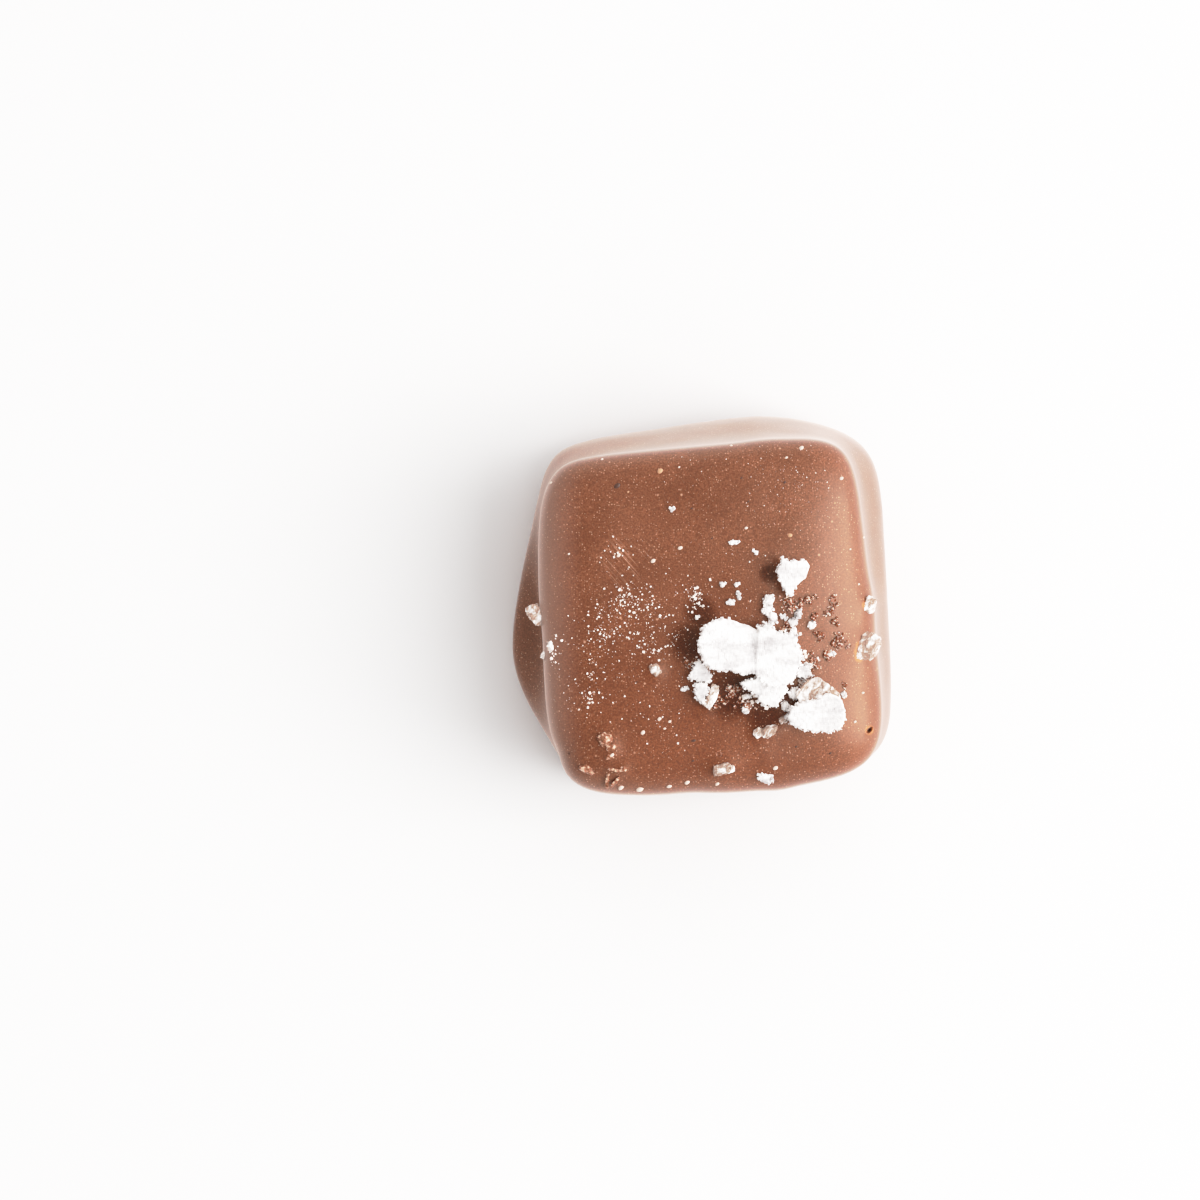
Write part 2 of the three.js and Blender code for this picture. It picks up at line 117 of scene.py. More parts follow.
# A flake is (centre, height of its top over the chocolate, thickness, how its top leans, how ragged
# its rim is, the bearing and half width of where it broke cleanly, corners about the centre).
FLAKES = (
    # Heart-shaped flake, lying alone.
    ((6.1, 2.2), 1.35, 0.8, (-0.1, 0.05), 0.5, (-10, 50), (
        (0, -1.8), (0.4, -1.0), (1.2, -0.2), (1.4, 0.5), (1.1, 1.0), (-0.2, 0.9), (-0.7, 1.2),
        (-0.8, 0.6), (-1.1, 0.3), (-0.9, -0.4), (-0.5, -1.2),
    )),
    # Broad square plate, tipped up at its outer side.
    ((1.6, -3.1), 1.65, 0.75, (-0.09, -0.06), 0.55, (50, 35), (
        (2.0, -1.8), (2.3, 0.1), (2.2, 1.1), (1.6, 1.5), (0.6, 1.8), (-0.1, 2.1), (-1.4, 1.8),
        (-2.1, 1.1), (-2.2, 0.1), (-1.9, -1.1), (-1.1, -1.8), (0.2, -1.8), (1.4, -2.1),
    )),
    # Middle of the heap, upper block.
    ((5.35, -3.75), 1.75, 1.3, (0, 0.04), 1.0, (180, 42), (
        (-1.7, 2.0), (-1.9, -1.5), (-0.9, -2.4), (0.4, -2.1), (1.1, -1.6), (1.5, -0.5), (1.4, 0.5),
        (1.1, 1.5), (-0.2, 1.7), (-0.9, 2.3),
    )),
    # Middle of the heap, lower wedge.
    ((4.3, -6.2), 1.45, 1.0, (0.05, 0.1), 0.8, (90, 0), (
        (-2.0, 0.5), (-1.0, -0.2), (-0.2, -1.1), (0.7, -1.3), (1.4, -0.4), (1.6, 0.6), (0.5, 1.1),
        (-1.0, 0.8),
    )),
    # Small flake below the plate.
    ((-0.4, -5.05), 0.75, 0.6, (0, 0), 0.7, (90, 0), (
        (-0.7, 0.3), (-0.9, -0.4), (-0.1, -0.6), (0.7, -0.7), (0.8, -0.1), (0.4, 0.6), (-0.2, 0.9),
    )),
    # Its lower neighbour.
    ((-0.25, -6.4), 0.9, 0.75, (0, 0), 0.8, (90, 0), (
        (-0.55, 0.6), (-0.6, -0.1), (-0.3, -0.7), (0.15, -0.9), (0.25, -0.3), (0.45, 0.3), (0.2, 0.8),
    )),
    # Large rounded flake at the lower right.
    ((7.9, -7.9), 1.5, 1.1, (0.05, 0.08), 0.7, (35, 30), (
        (-2.1, -0.2), (-1.8, -0.9), (-0.6, -1.3), (0.8, -1.4), (2.0, -1.1), (2.2, 0.1), (1.8, 1.1),
        (0.9, 1.5), (-0.2, 1.0), (-1.2, 0.7), (-1.8, 0.4),
    )),
    # Crumbly bridge between the heap and the large rounded flake.
    ((7.15, -4.95), 1.0, 0.7, (0, 0), 1.0, (90, 0), (
        (-0.6, 0.3), (-0.5, -0.4), (0.1, -0.5), (0.5, -0.2), (0.4, 0.3), (0.1, 0.6),
    )),
)
CLEAR_PLATE = ((7.75, -6.35), 1.1, 0.9, (0, 0.05), 0.2, (60, 60), (
    (-1.3, 0), (-1.1, -0.9), (0.1, -1.0), (1.6, -1.0), (2.1, -0.8), (1.9, -0.1), (1.2, 0.5), (0.4, 1.1),
    (-0.5, 0.8),
))
# Fine salt has drifted into the step between the plate and the middle of the heap: the plan and
# the height over the chocolate of the drift's lower and of its upper edge.
DRIFT = ((3.12, -5.05, 1.60), (3.08, -2.15, 1.43), (3.78, -2.10, 1.78), (3.72, -5.05, 1.70))
DRIFT_DEPTH = 0.5

# Shares of its outline that a flake fills at four levels.
FLAKE_FOOT = 0.6
FLAKE_UNDERSIDE = 0.95
FLAKE_SHOULDER = 0.99
FLAKE_TOP = 0.94
FLAKE_SINK = 0.35
FLAKE_BEVEL = 0.08
CORNER_CUT = 0.15          # share of a side that the rounding of a corner takes
RIM_STEP = 0.08
RIM_INSET = 0.05
RIM_NOISES = ((2.6, 0, 0.05), (3.2, 5, 0.24), (8, 9, 0.14))   # (waves per mm, level, height)

# Crumbs on the rims of flakes and round white blocks. In a pair, the second is added at most.
CRUMBS_PER_MM = 26
CRUMB_SPAN = (0.07, 0.13)
CRUMB_LENGTH = 1.4         # these three for its span
CRUMB_WIDTH = (0.5, 0.5)
CRUMB_HEIGHT = 0.8
CRUMB_SHARE = (0.2, 0.4)   # share of the rim with crumbs, growing with the frill
CRUMB_INSET = 0.06
CRUMB_OVERHANG = 0.20
CRUMB_OUT = (0.36, 0.17)   # how far out they sit on a block, for its size

# A crystal is the hull of points spread evenly over a ball. Angles are in radians.
CRYSTAL_CORNERS = 22
CRYSTAL_SQUARENESS = 0.7
CRYSTAL_TILT = 0.25
CRYSTAL_STRAY = 1.2        # how far a corner strays from its even place
CRYSTAL_REACH = (0.86, 0.16)
GOLDEN_ANGLE = 2.39996

# Blocks are (x, y, length, width, height, turn in degrees, share that stands proud).
WHITE_BLOCKS = (
    (4.61, 0.3, 0.85, 0.75, 0.8, 15, 0.75), (4.5, -0.42, 0.8, 0.7, 0.8, 40, 0.75),
    (4.85, -1.05, 0.7, 0.9, 0.95, 5, 0.75), (6.75, -0.75, 0.45, 0.75, 0.6, -12, 0.75),
    (6.35, -1.35, 0.75, 0.55, 0.6, 30, 0.75), (5.7, -0.97, 0.6, 0.3, 0.35, -15, 0.75),
    (6.43, -1.95, 0.45, 0.5, 0.6, 0, 0.75), (7.7, -1.55, 0.6, 0.5, 0.5, 30, 0.6),
    (9.18, -3.66, 0.45, 0.4, 0.4, -30, 0.7), (6.45, -6.5, 0.8, 0.9, 0.9, 20, 0.75),
    (5.8, -7.45, 0.75, 0.7, 0.8, 35, 0.7), (-1.51, -6.17, 0.55, 0.22, 0.25, 0, 0.7),
    (3.09, -6.75, 0.55, 0.3, 0.4, 10, 0.7), (2.87, -7.72, 0.5, 0.4, 0.4, -30, 0.7),
    (4.4, -12.7, 1.2, 0.75, 0.8, -20, 0.6), (2.37, 0.62, 0.25, 0.55, 0.28, 22, 0.75),
    (1.78, 0.12, 0.55, 0.38, 0.35, -10, 0.75), (1.28, 1.42, 0.45, 0.35, 0.3, 20, 0.7),
    (2.29, 1.42, 0.3, 0.25, 0.25, 0, 0.7), (2.07, 4.47, 0.75, 0.28, 0.25, 5, 0.6),
    (3.6, 3.74, 0.4, 0.28, 0.25, -35, 0.6), (-2.42, 6.86, 0.35, 0.35, 0.25, 10, 0.6),
    (-0.61, -0.97, 0.28, 0.32, 0.28, -20, 0.75), (10.05, -6.63, 0.3, 0.45, 0.3, -20, 0.7),
)
CLEAR_BLOCKS = (
    (0.44, -6.74, 2.1, 0.85, 0.95, 66, 0.75), (5.65, -8.4, 0.75, 0.65, 0.55, 20, 0.6),
    (3.85, -9.35, 0.9, 0.75, 0.6, 40, 0.65), (4.65, -9.2, 1.6, 0.95, 0.75, 38, 0.65),
    (-3.66, -4.82, 0.95, 1.1, 0.7, 20, 0.5), (12.02, -0.08, 1.1, 1.45, 1.0, -15, 0.6),
    (11.85, -3.2, 1.9, 2.5, 1.35, -28, 0.62), (-12.35, -0.85, 1.3, 1.8, 1.1, 25, 0.55),
    (-11.2, -3.1, 0.7, 1.0, 0.7, 10, 0.5), (-11.75, -3.75, 0.5, 0.8, 0.5, -20, 0.5),
    (1.35, -12.05, 1.8, 1.05, 0.9, 15, 0.58),
)
COATED_BLOCKS = (
    (-7.25, -9.8, 1.2, 1.1, 0.8, 35, 0.6), (-6.82, -10.45, 0.85, 0.75, 0.6, -20, 0.6),
    (-6.95, -11.1, 0.8, 0.55, 0.5, 10, 0.6), (-5.93, -12.0, 0.55, 0.55, 0.45, 25, 0.6),
    (-6.65, -12.05, 1.3, 0.34, 0.55, -14, 0.68), (-7.1, -12.75, 0.34, 1.55, 0.55, -3, 0.68),
    (-6.45, -12.85, 0.34, 1.5, 0.55, -38, 0.68), (-8.6, -12.05, 1.3, 0.7, 0.6, -28, 0.65),
)

# Loose grains lie in patches that are dense in the middle: (x, y, reach along X and Y, how many,
# smallest and largest size). The first table is bare salt, the second is wetted by the chocolate.
DRY_PATCHES = (
    (-6.5, -0.9, 6.2, 4.6, 320, 0.04, 0.13), (-7.43, -0.61, 1.4, 1.0, 34, 0.05, 0.15),
    (-7.65, -2.13, 1.4, 1.1, 30, 0.05, 0.14), (-5.7, 0.5, 1.7, 1.2, 30, 0.05, 0.15),
    (-4.75, -0.17, 2.5, 2.0, 60, 0.04, 0.15), (-0.76, 0.48, 1.5, 1.4, 60, 0.05, 0.2),
    (-4.02, -3.36, 2.3, 1.9, 46, 0.04, 0.17), (-8.4, -6.3, 3.6, 5.4, 110, 0.04, 0.14),
    (-8.2, -7.1, 1.3, 1.4, 24, 0.05, 0.17), (-4.02, -8.8, 5.5, 4.4, 90, 0.04, 0.13),
    (-6.49, 3.67, 1.9, 1.7, 34, 0.02, 0.15), (4.68, 8.96, 8.5, 5.0, 220, 0.02, 0.07),
    (6.85, -4.45, 1.5, 2.4, 60, 0.1, 0.32), (3.38, -6.99, 1.4, 1.2, 40, 0.1, 0.36),
    (-0.4, -4.7, 1.3, 1.2, 30, 0.1, 0.32), (-11.0, -3.4, 1.0, 1.8, 36, 0.05, 0.24),
    (-1.6, -1.8, 11.5, 11.5, 300, 0.02, 0.1),
)
WET_PATCHES = (
    (7.25, 0.1, 0.5, 0.5, 8, 0.18, 0.44), (7.75, 0.35, 0.5, 0.6, 9, 0.16, 0.36),
    (9.32, 0.26, 0.5, 1.0, 26, 0.13, 0.3), (8.9, -0.75, 0.6, 0.45, 13, 0.15, 0.36),
    (8.0, -1.1, 0.6, 0.7, 13, 0.15, 0.38), (9.4, -1.25, 0.45, 0.5, 9, 0.15, 0.34),
    (6.1, 0.0, 1.0, 1.3, 34, 0.15, 0.42), (5.75, -1.9, 0.7, 1.0, 20, 0.15, 0.4),
    (9.75, -2.75, 1.1, 0.9, 44, 0.15, 0.38), (8.25, -2.3, 0.7, 0.7, 14, 0.14, 0.34),
    (8.8, -3.75, 0.5, 0.5, 10, 0.2, 0.5), (8.0, -4.2, 0.6, 0.9, 18, 0.14, 0.34),
    (10.1, -5.98, 0.3, 0.3, 6, 0.2, 0.4), (2.15, -6.26, 1.1, 0.9, 26, 0.16, 0.44),
    (2.87, -7.35, 1.2, 0.9, 26, 0.15, 0.4), (1.06, -6.99, 1.0, 1.0, 18, 0.14, 0.36),
    (-1.2, -4.3, 0.5, 0.5, 8, 0.14, 0.3),
)
GRAIN_PROUD = 0.7
GRAIN_WIDTH = (0.6, 0.5)   # for its length: at least, and what is added at most
GRAIN_HEIGHT = (0.7, 0.3)
GRAIN_RARITY = 4           # the higher, the fewer grains are large
RIM_SHARE = 0.96           # no grain lies nearer to the rim than this share of the way

# Small single marks: (x, y, width). Pale and tan ones are sugar, dark ones are cocoa.
TAN_DOTS = ((-3.29, 9.62, 0.42), (6.12, 4.95, 0.34), (-5.6, 8.1, 0.16), (9.4, 7.3, 0.18))
PALE_DOTS = (
    (2.95, 5.48, 0.24), (11.65, 4.85, 0.22), (10.55, 3.95, 0.2), (-4.74, -13.52, 0.5),
    (-6.12, -13.38, 0.42), (-6.77, -10.98, 0.3), (-2.6, -13.3, 0.34), (-1.3, -13.0, 0.36),
    (0.9, -13.1, 0.32), (5.1, -11.95, 0.34), (10.9, -8.6, 0.2), (11.2, 1.4, 0.2), (11.5, -6.5, 0.2),
    (-11.2, 8.8, 0.24), (-7.5, 10.5, 0.2), (5.9, 10.6, 0.2), (7.0, 11.3, 0.34), (9.9, 9.1, 0.3),
    (-9.9, 3.6, 0.18), (-6.3, 3.5, 0.3), (-1.84, 4.03, 0.32), (-3.8, 3.09, 0.34), (-1.9, 9.9, 0.16),
    (1.9, 11.5, 0.2), (-4.54, -9.35, 0.34), (-3.34, -8.36, 0.3), (-2.59, -8.55, 0.24), (-2.95, -9.06, 0.22),
    (-9.16, -7.69, 0.2),
)
DARK_FLECKS = (
    (-6.41, 8.53, 0.42), (0.45, 4.72, 0.22), (-4.96, -5.68, 0.3), (2.6, 9.1, 0.16), (-8.6, 5.2, 0.16),
    (5.75, 8.8, 0.18), (-1.0, 6.9, 0.14), (-9.8, -10.9, 0.26), (-4.1, -9.2, 0.18), (3.1, 7.4, 0.14),
    (-0.86, -9.93, 0.3), (-0.9, -11.4, 0.2), (6.6, -10.4, 0.16), (-7.4, -4.9, 0.16), (9.1, -10.9, 0.16),
)

SALT_SEED = 20861
SEEDS = {"flakes": 515, "crystals": 909, "coated": 313, "dry wear": 77, "wet wear": 78, "marks": 421}

# How a fused skin is roughened: size and height of its crystal steps, then of its fine grain.
SKINS = {
    "flakes": (0.22, 0.020, 0.16, 0.012), "crystals": (0.30, 0.05, 0.16, 0.03),
    "coated": (0.30, 0.03, 0.18, 0.05),
}

# Each kind of mark is (piece, places, thickness for its width, stretch, finish); a finish is (name of
# the material, colour, roughness).
MARK_SIDES = 12
MARK_RINGS = ((1.0, -0.3), (0.93, 0.35), (0.6, 0.85))   # (share of the width, of the thickness)
MARK_REACH = (0.9, 0.2)   # how far each corner reaches: at least, and what is added at most
MARKS = (
    ("sugar_dots", PALE_DOTS, 0.3, 1.2, ("sugar_speck", "e6cdbd", 0.5)),
    ("tan_dots", TAN_DOTS, 0.15, 1.1, ("caramelised_sugar", "c08e6c", 0.5)),
    ("cocoa_flecks", DARK_FLECKS, 0.08, 1.3, ("cocoa_speck", "4a2a1c", 0.4)),
)

# ---- what the materials are made from

# Shares of the milk chocolate's red, green and blue: darkest, darker, as it is, paler.
MILK_TONES = ((0.68, 0.57, 0.46), (0.82, 0.74, 0.65), (1.0, 1.0, 1.0), (1.44, 1.66, 1.95))
CLOUD_SPAN = (0.15, 0.75)   # the part of a noise over which the tones change
MOTTLE_SPAN = (0.38, 0.62)

# Painted shade: the lower half is tinted warmer and darker, standing for the weaker sheen that
# reflects there. Painted shadow darkens the chocolate round the salt at the places (x, y, reach) of
# the shade spots below, where brine has also wetted the skin, and caramel shows at those of AMBER;
# each is full over a core, a share of its reach. The tints multiply the colour.
LOWER_HALF_SHADE = {"centre": (1.5, -10.0), "inner": 3.0, "outer": 15.0}
LOWER_HALF_SHADE_TINT = (0.97, 0.80, 0.60)
SHADE_AND_DAMP = (
    (-1.2, -2.8, 2.0), (1.9, -6.6, 2.6), (4.3, -8.2, 2.0), (4.6, 2.2, 1.0), (6.3, -6.9, 1.2),
    (-0.4, -0.6, 1.6),
)
SHADE_AND_DAMP_CORE = 0.3
PAINTED_SHADE_TINT = (0.44, 0.32, 0.22)
AMBER = (
    (11.28, -3.05, 0.42), (11.16, -3.50, 0.42), (11.22, -3.95, 0.42), (11.72, -0.10, 0.34),
    (12.01, -9.24, 0.45),
)
AMBER_CORE = 0.5
AMBER_STRENGTH = 0.65

# Painted light on two rims of the top: a pale painted sheen at -X, and the +X rim, which faces the
# window, painted lighter and more orange. Each is (X where the tone begins, X where it is full, how
# full, colour). It fades in between two heights.
PAINTED_RIM_LIGHT = ((-8.6, -11.9, 0.52, "9a7365"), (9.2, 11.9, 0.26, "8a4e28"))
PAINTED_RIM_HEIGHTS = (10.5, 12.5)

# Specks of sugar: (width of the cells they lie in, share of cells with one, width, strength).
SUGAR_SPECKS = ((0.18, 0.50, 0.15, 0.80), (0.17, 0.45, 0.13, 0.36), (0.90, 0.30, 0.30, 0.80))
SUGAR_CORNER = {"centre": (8.5, 9.5), "inner": 2.0, "outer": 13.0}   # the second kind crowds here

RUB_PATCH = {"centre": (-5.5, 3.0), "inner": 0.4, "outer": 2.7, "strength": 0.42}
RUB_SIZE = (4.2, 0.09, 2.0)
RUB_TURN = -48

SALT_IOR = 1.544
STREAK_SPAN = (0.42, 0.68)
STREAK_SHARES = (0.52, 0.50, 0.51)   # of the white, in the dense streaks of a flake
CRACK_SPAN = (0.44, 0.60)
FILM_SPAN = (0.50, 0.66)

# ---- the stage

FLOOR_HALF = 900.0
CAMERA_PLAN = (-7.645, 0.26)

# The window stands near the candy, so its light falls off across the floor.
WINDOW = {
    "bearing": -8.0, "elevation": 48.0, "distance": 500.0, "width": 290.0, "height": 450.0, "power": 1.74,
}

# Soft lights of the room: (bearing in degrees from +X, elevation, tightness, radiance).
ROOM_LIGHTS = (
    (0.0, 90.0, 1.5, 0.16), (90.0, 13.0, 3.0, 1.33), (180.0, 18.0, 7.0, 0.65), (0.0, 12.0, 3.0, 2.3),
    (-90.0, 12.0, 4.0, 1.0),
)
ROOM_LEVEL = 0.05

# Exposure for bright surroundings: middle tones are lifted and whites roll off softly.
TONE_WHITE = 1.25
TONE_POINTS = ((0.2, 0.30), (0.5, 0.73), (0.9, 0.945))

# ---- resolutions

BODY_SEGMENTS = 600
CROWN_STEPS = 108
WALL_STEPS = 34
FOOT_STEPS = 9
SALT_VOXEL = 0.055


# ---- settings a user may change


def linear_colour(code):
    """A linear RGB colour from an sRGB hex code."""
    channels = [int(code[i:i + 2], 16) / 255 for i in (0, 2, 4)]
    return tuple(c / 12.92 if c <= 0.04045 else ((c + 0.055) / 1.055) ** 2.4 for c in channels)


def length_setting(name, description, length):
    """A setting that holds a length, given in millimetres."""
    return FloatProperty(name=name, description=description, default=length * MM, unit="LENGTH")


def colour_setting(name, description, code):
    """A setting that holds a colour."""
    colour = linear_colour(code)
    return FloatVectorProperty(name=name, description=description, default=colour, subtype="COLOR")


class ChocolateSettings(bpy.types.PropertyGroup):
    """Sizes and colours of the chocolate coating."""

    crown_height: length_setting("Crown height", "Highest point of the domed top", 15.0)
    rim_drop: length_setting("Rim drop", "Height of the rounded rim of the top", 2.0)
    belly_height: length_setting("Belly height", "Height of the widest line", 3.4)
    belly_rise: length_setting("Belly rise", "How much higher that line runs on the +X side", 2.6)
    foot_tuck: length_setting("Foot tuck", "How far the foot is drawn in to the base", 1.35)
    milk: colour_setting("Milk chocolate", "Main colour of the coating", "6b3820")
    sugar: colour_setting("Sugar specks", "Pale specks of sugar in the coating", "d3a386")
    caramel: colour_setting("Caramel", "The filling, which shows in the pinhole", "bd6b26")


class SaltSettings(bpy.types.PropertyGroup):
    """Colours and scatter of the salt."""

    white: colour_setting("Flake salt", "Opaque white salt", "fbf6f3")
    clear: colour_setting("Clear salt", "Tint of half-clear crystals", "e0bfab")
    seed: IntProperty(name="Seed", description="Seed of the scattered grains", default=SALT_SEED)


class StageSettings(bpy.types.PropertyGroup):
    """Camera, light and floor."""

    camera_height: length_setting("Camera height", "Height of the camera over the floor", 215.0)
    view_width: length_setting("View width", "Width that the camera sees at the crown", 86.96)
    floor: colour_setting("Floor", "Colour of the floor", "f4f2f1")
    window: FloatProperty(name="Window", description="Strength of the one large window", default=1.0)
    room: FloatProperty(name="Room light", description="Strength of the light from all round", default=1.0)


# ---- the shape of the body


def outline_radius(outline, angle):
    """Distance from the outline centre to a soft-cornered outline, in the direction of an angle."""
    total = 0.0
    for facing, distance in outline["sides"]:
        nearness = np.maximum(0.0, np.cos(angle - math.radians(facing))) / distance
        total = total + nearness ** outline["softness"]
    radius = total ** (-1.0 / outline["softness"])
    for direction, half_width, rise in outline["ripples"]:
        away = (np.degrees(angle) - direction + 180) % 360 - 180
        radius = radius + rise * np.exp(-((away / half_width) ** 2))
    return radius


def compass_blend(values, angle):
    """One number that turns smoothly between the values of the four sides."""
    blended = 0.0
    for quarter, value in enumerate(values):
        blended = blended + value * np.maximum(0.0, np.cos(angle - quarter * math.pi / 2)) ** 2
    return blended


def crown_height(share, angle):
    """Height of the top at a share of the way to the rim: it sags gently, then rounds off."""
    settings = bpy.context.scene.candy_chocolate
    share = np.minimum(1.0, share)
    sag = compass_blend(CROWN_SAG, angle) * share ** SAG_SHAPE
    tightness = compass_blend(RIM_TIGHTNESS, angle)
    rounding = settings.rim_drop / MM * (1.0 - np.sqrt(1.0 - share ** tightness))
    return settings.crown_height / MM - sag - rounding


def rim_share(x, y):
    """How far along the way from the middle to the rim a point of the plan lies, and its bearing."""
    dx = x - OUTLINE_CENTRE[0]
    dy = y - OUTLINE_CENTRE[1]
    angle = np.arctan2(dy, dx)
    return np.hypot(dx, dy) / outline_radius(SHOULDER, angle), angle


def surface_height(x, y):
    """Height of the top surface over a point of the plan."""
    return float(crown_height(*rim_share(x, y)))


def body_rings(angle):
    """Rings of (radius, height) from the top down: the crown, the wall and the rounded foot."""
    settings = bpy.context.scene.candy_chocolate
    shoulder = outline_radius(SHOULDER, angle)
    belly = outline_radius(BELLY, angle)
    high = crown_height(1.0, angle)
    low = settings.belly_height / MM + settings.belly_rise / MM * np.maximum(0.0, np.cos(angle)) ** 2
    spread_from = compass_blend(FLARE_FROM, angle)
    rings = []
    for step in range(1, CROWN_STEPS + 1):
        share = 1.0 - (1.0 - step / CROWN_STEPS) ** CROWN_CROWDING
        rings.append((share * shoulder, crown_height(share, angle)))
    for step in range(1, WALL_STEPS + 1):
        share = step / WALL_STEPS
        spread = np.maximum(0.0, (share - spread_from) / (1.0 - spread_from))
        eased = np.sin(0.5 * math.pi * spread ** FLARE_SHAPE[0]) ** FLARE_SHAPE[1]
        rings.append((shoulder + (belly - shoulder) * eased, high + (low - high) * share))
    for step in range(1, FOOT_STEPS + 1):
        turn = step / FOOT_STEPS * math.pi / 2
        height = low * (1.0 - math.sin(turn)) if step < FOOT_STEPS else 0.0 * angle
        rings.append((belly - settings.foot_tuck / MM * (1.0 - math.cos(turn)), height))
    return rings


def turned_offset(x, y, centre, turn):
    """Offsets from a centre, along and across a direction."""
    dx, dy = x - centre[0], y - centre[1]
    cos, sin = math.cos(math.radians(turn)), math.sin(math.radians(turn))
    return cos * dx + sin * dy, cos * dy - sin * dx


def swell(x, y, centre, turn, along, across):
    """1 at a centre, fading out over a reach along and one across a direction."""
    u, v = turned_offset(x, y, centre, turn)
    return np.exp(-((u / along) ** 2) - (v / across) ** 2)


def skin_relief(x, y):
    """How far the skin of the top stands over its even dome: swells, menisci, pinhole and bubble."""
    lift = 0.0 * x
    for cx, cy, along, across, turn, height in SWELLS:
        lift += height * swell(x, y, (cx, cy), turn, along, across)
    climb, reach = MENISCUS
    for cx, cy, length, width, tall, turn, proud in CLEAR_BLOCKS + COATED_BLOCKS:
        meniscus = swell(x, y, (cx, cy), turn, reach * length, reach * width)
        lift += climb * tall * (1.0 - proud) * meniscus
    u, v = turned_offset(x, y, PINHOLE["centre"], PINHOLE["turn"])
    away = np.hypot(u / PINHOLE["reach"][0], v / PINHOLE["reach"][1])
    lift += PINHOLE["lip"] * np.exp(-(((away - PINHOLE["lip_at"]) / PINHOLE["lip_width"]) ** 2))
    lift -= PINHOLE["depth"] * np.clip(PINHOLE["edge"] - away, 0.0, 1.0) ** PINHOLE["steepness"]
    away = np.hypot(x - BUBBLE["centre"][0], y - BUBBLE["centre"][1]) / BUBBLE["radius"]
    lift += BUBBLE["lip"] * np.exp(-(((away - 1.0) / BUBBLE["lip_width"]) ** 2))
    lift -= BUBBLE["hollow"] * np.exp(-(away / BUBBLE["hollow_width"]) ** 2)
    return lift


# ---- mesh helpers


def object_from(name, vertices, faces, smooth=True):
    """A mesh object from points in millimetres."""
    mesh = bpy.data.meshes.new(name)
    mesh.from_pydata([tuple(c * MM for c in point) for point in vertices], [], faces)
    mesh.update()
    piece = bpy.data.objects.new(name, mesh)
    bpy.context.scene.collection.objects.link(piece)
    mesh.polygons.foreach_set("use_smooth", [smooth] * len(mesh.polygons))
    return piece


def place(piece, material):
    """Lets a piece stand for the candy node and its material."""
    piece.data.materials.append(material)
    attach(piece, "root")
    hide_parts(NODE)


def place_soup(name, soup, material, skin=None, smooth=False):
    """Makes a piece from a soup, fused and roughened if it has a skin, and places it."""
    piece = object_from(name, soup.points, soup.faces, smooth)
    if skin:
        voxel_remesh(piece, SALT_VOXEL)
        roughen(piece, *skin)
    place(piece, material)


def random_source(seed):
    """Repeatable random numbers from 0 to 1, the same ones as in the solids."""
    state = seed
    while True:
        state = (state * 1664525 + 1013904223) % 2 ** 32
        yield state / 2 ** 32


def from_range(span, draw):
    """A random number that is at least the first value, with up to the second one added."""
    return span[0] + span[1] * next(draw)


class Soup:
    """Points and faces of many small solids, gathered for one mesh."""

    def __init__(self):
        self.points = []
        self.faces = []

    def add(self, points, faces):
        start = len(self.points)
        self.points.extend(points)
        self.faces.extend([tuple(start + index for index in face) for face in faces])


BOX_FACES = ((0, 2, 3, 1), (4, 5, 7, 6), (0, 1, 5, 4), (2, 6, 7, 3), (0, 4, 6, 2), (1, 3, 7, 5))


def add_box(soup, centre, size, turn, draw, tilt, wear=0.12):
    """A small salt block, tilted a little, with unevenly worn corners."""
    spin = Euler((tilt * (next(draw) - 0.5), tilt * (next(draw) - 0.5), math.radians(turn)))
    rotation = spin.to_matrix()
    points = []
    for corner in range(8):
        sign = (1 if corner & 1 else -1, 1 if corner & 2 else -1, 1 if corner & 4 else -1)
        point = Vector([
            0.5 * sign[axis] * size[axis] * (1 + wear * (2 * next(draw) - 1)) for axis in range(3)
        ])
        points.append(tuple(rotation @ point + Vector(centre)))
    soup.add(points, BOX_FACES)


def add_crystal(soup, block, draw):
    """A faceted crystal: the hull of points on a squared-off ball that fills a block."""
    x, y, *size, turn, proud = block
    centre = Vector((x, y, surface_height(x, y) + size[2] * (proud - 0.5)))
    tilt = CRYSTAL_TILT * (next(draw) - 0.5), CRYSTAL_TILT * (next(draw) - 0.5)
    rotation = Euler((*tilt, math.radians(turn))).to_matrix()
    hull = bmesh.new()
    for index in range(CRYSTAL_CORNERS):
        level = 1.0 - 2.0 * (index + 0.5) / CRYSTAL_CORNERS
        bearing = GOLDEN_ANGLE * index + CRYSTAL_STRAY * next(draw)
        flat = math.sqrt(1.0 - level * level)
        way = Vector((flat * math.cos(bearing), flat * math.sin(bearing), level))
        reach = max(abs(c) for c in way) ** -CRYSTAL_SQUARENESS * from_range(CRYSTAL_REACH, draw)
        hull.verts.new(rotation @ Vector([0.5 * reach * way[axis] * size[axis] for axis in range(3)]))
    made = bmesh.ops.convex_hull(hull, input=hull.verts)
    bmesh.ops.delete(hull, geom=made["geom_interior"], context="VERTS")
    hull.verts.index_update()
    points = [tuple(vertex.co + centre) for vertex in hull.verts]
    soup.add(points, [tuple(vertex.index for vertex in face.verts) for face in hull.faces])
    hull.free()


def voxel_remesh(piece, voxel):
    """Fuses everything in a piece into one closed skin."""
    modifier = piece.modifiers.new("fuse", "REMESH")
    modifier.mode = "VOXEL"
    modifier.voxel_size = voxel * MM
    depsgraph = bpy.context.evaluated_depsgraph_get()
    fused = bpy.data.meshes.new_from_object(piece.evaluated_get(depsgraph))
    piece.modifiers.clear()
    old = piece.data
    piece.data = fused
    bpy.data.meshes.remove(old)


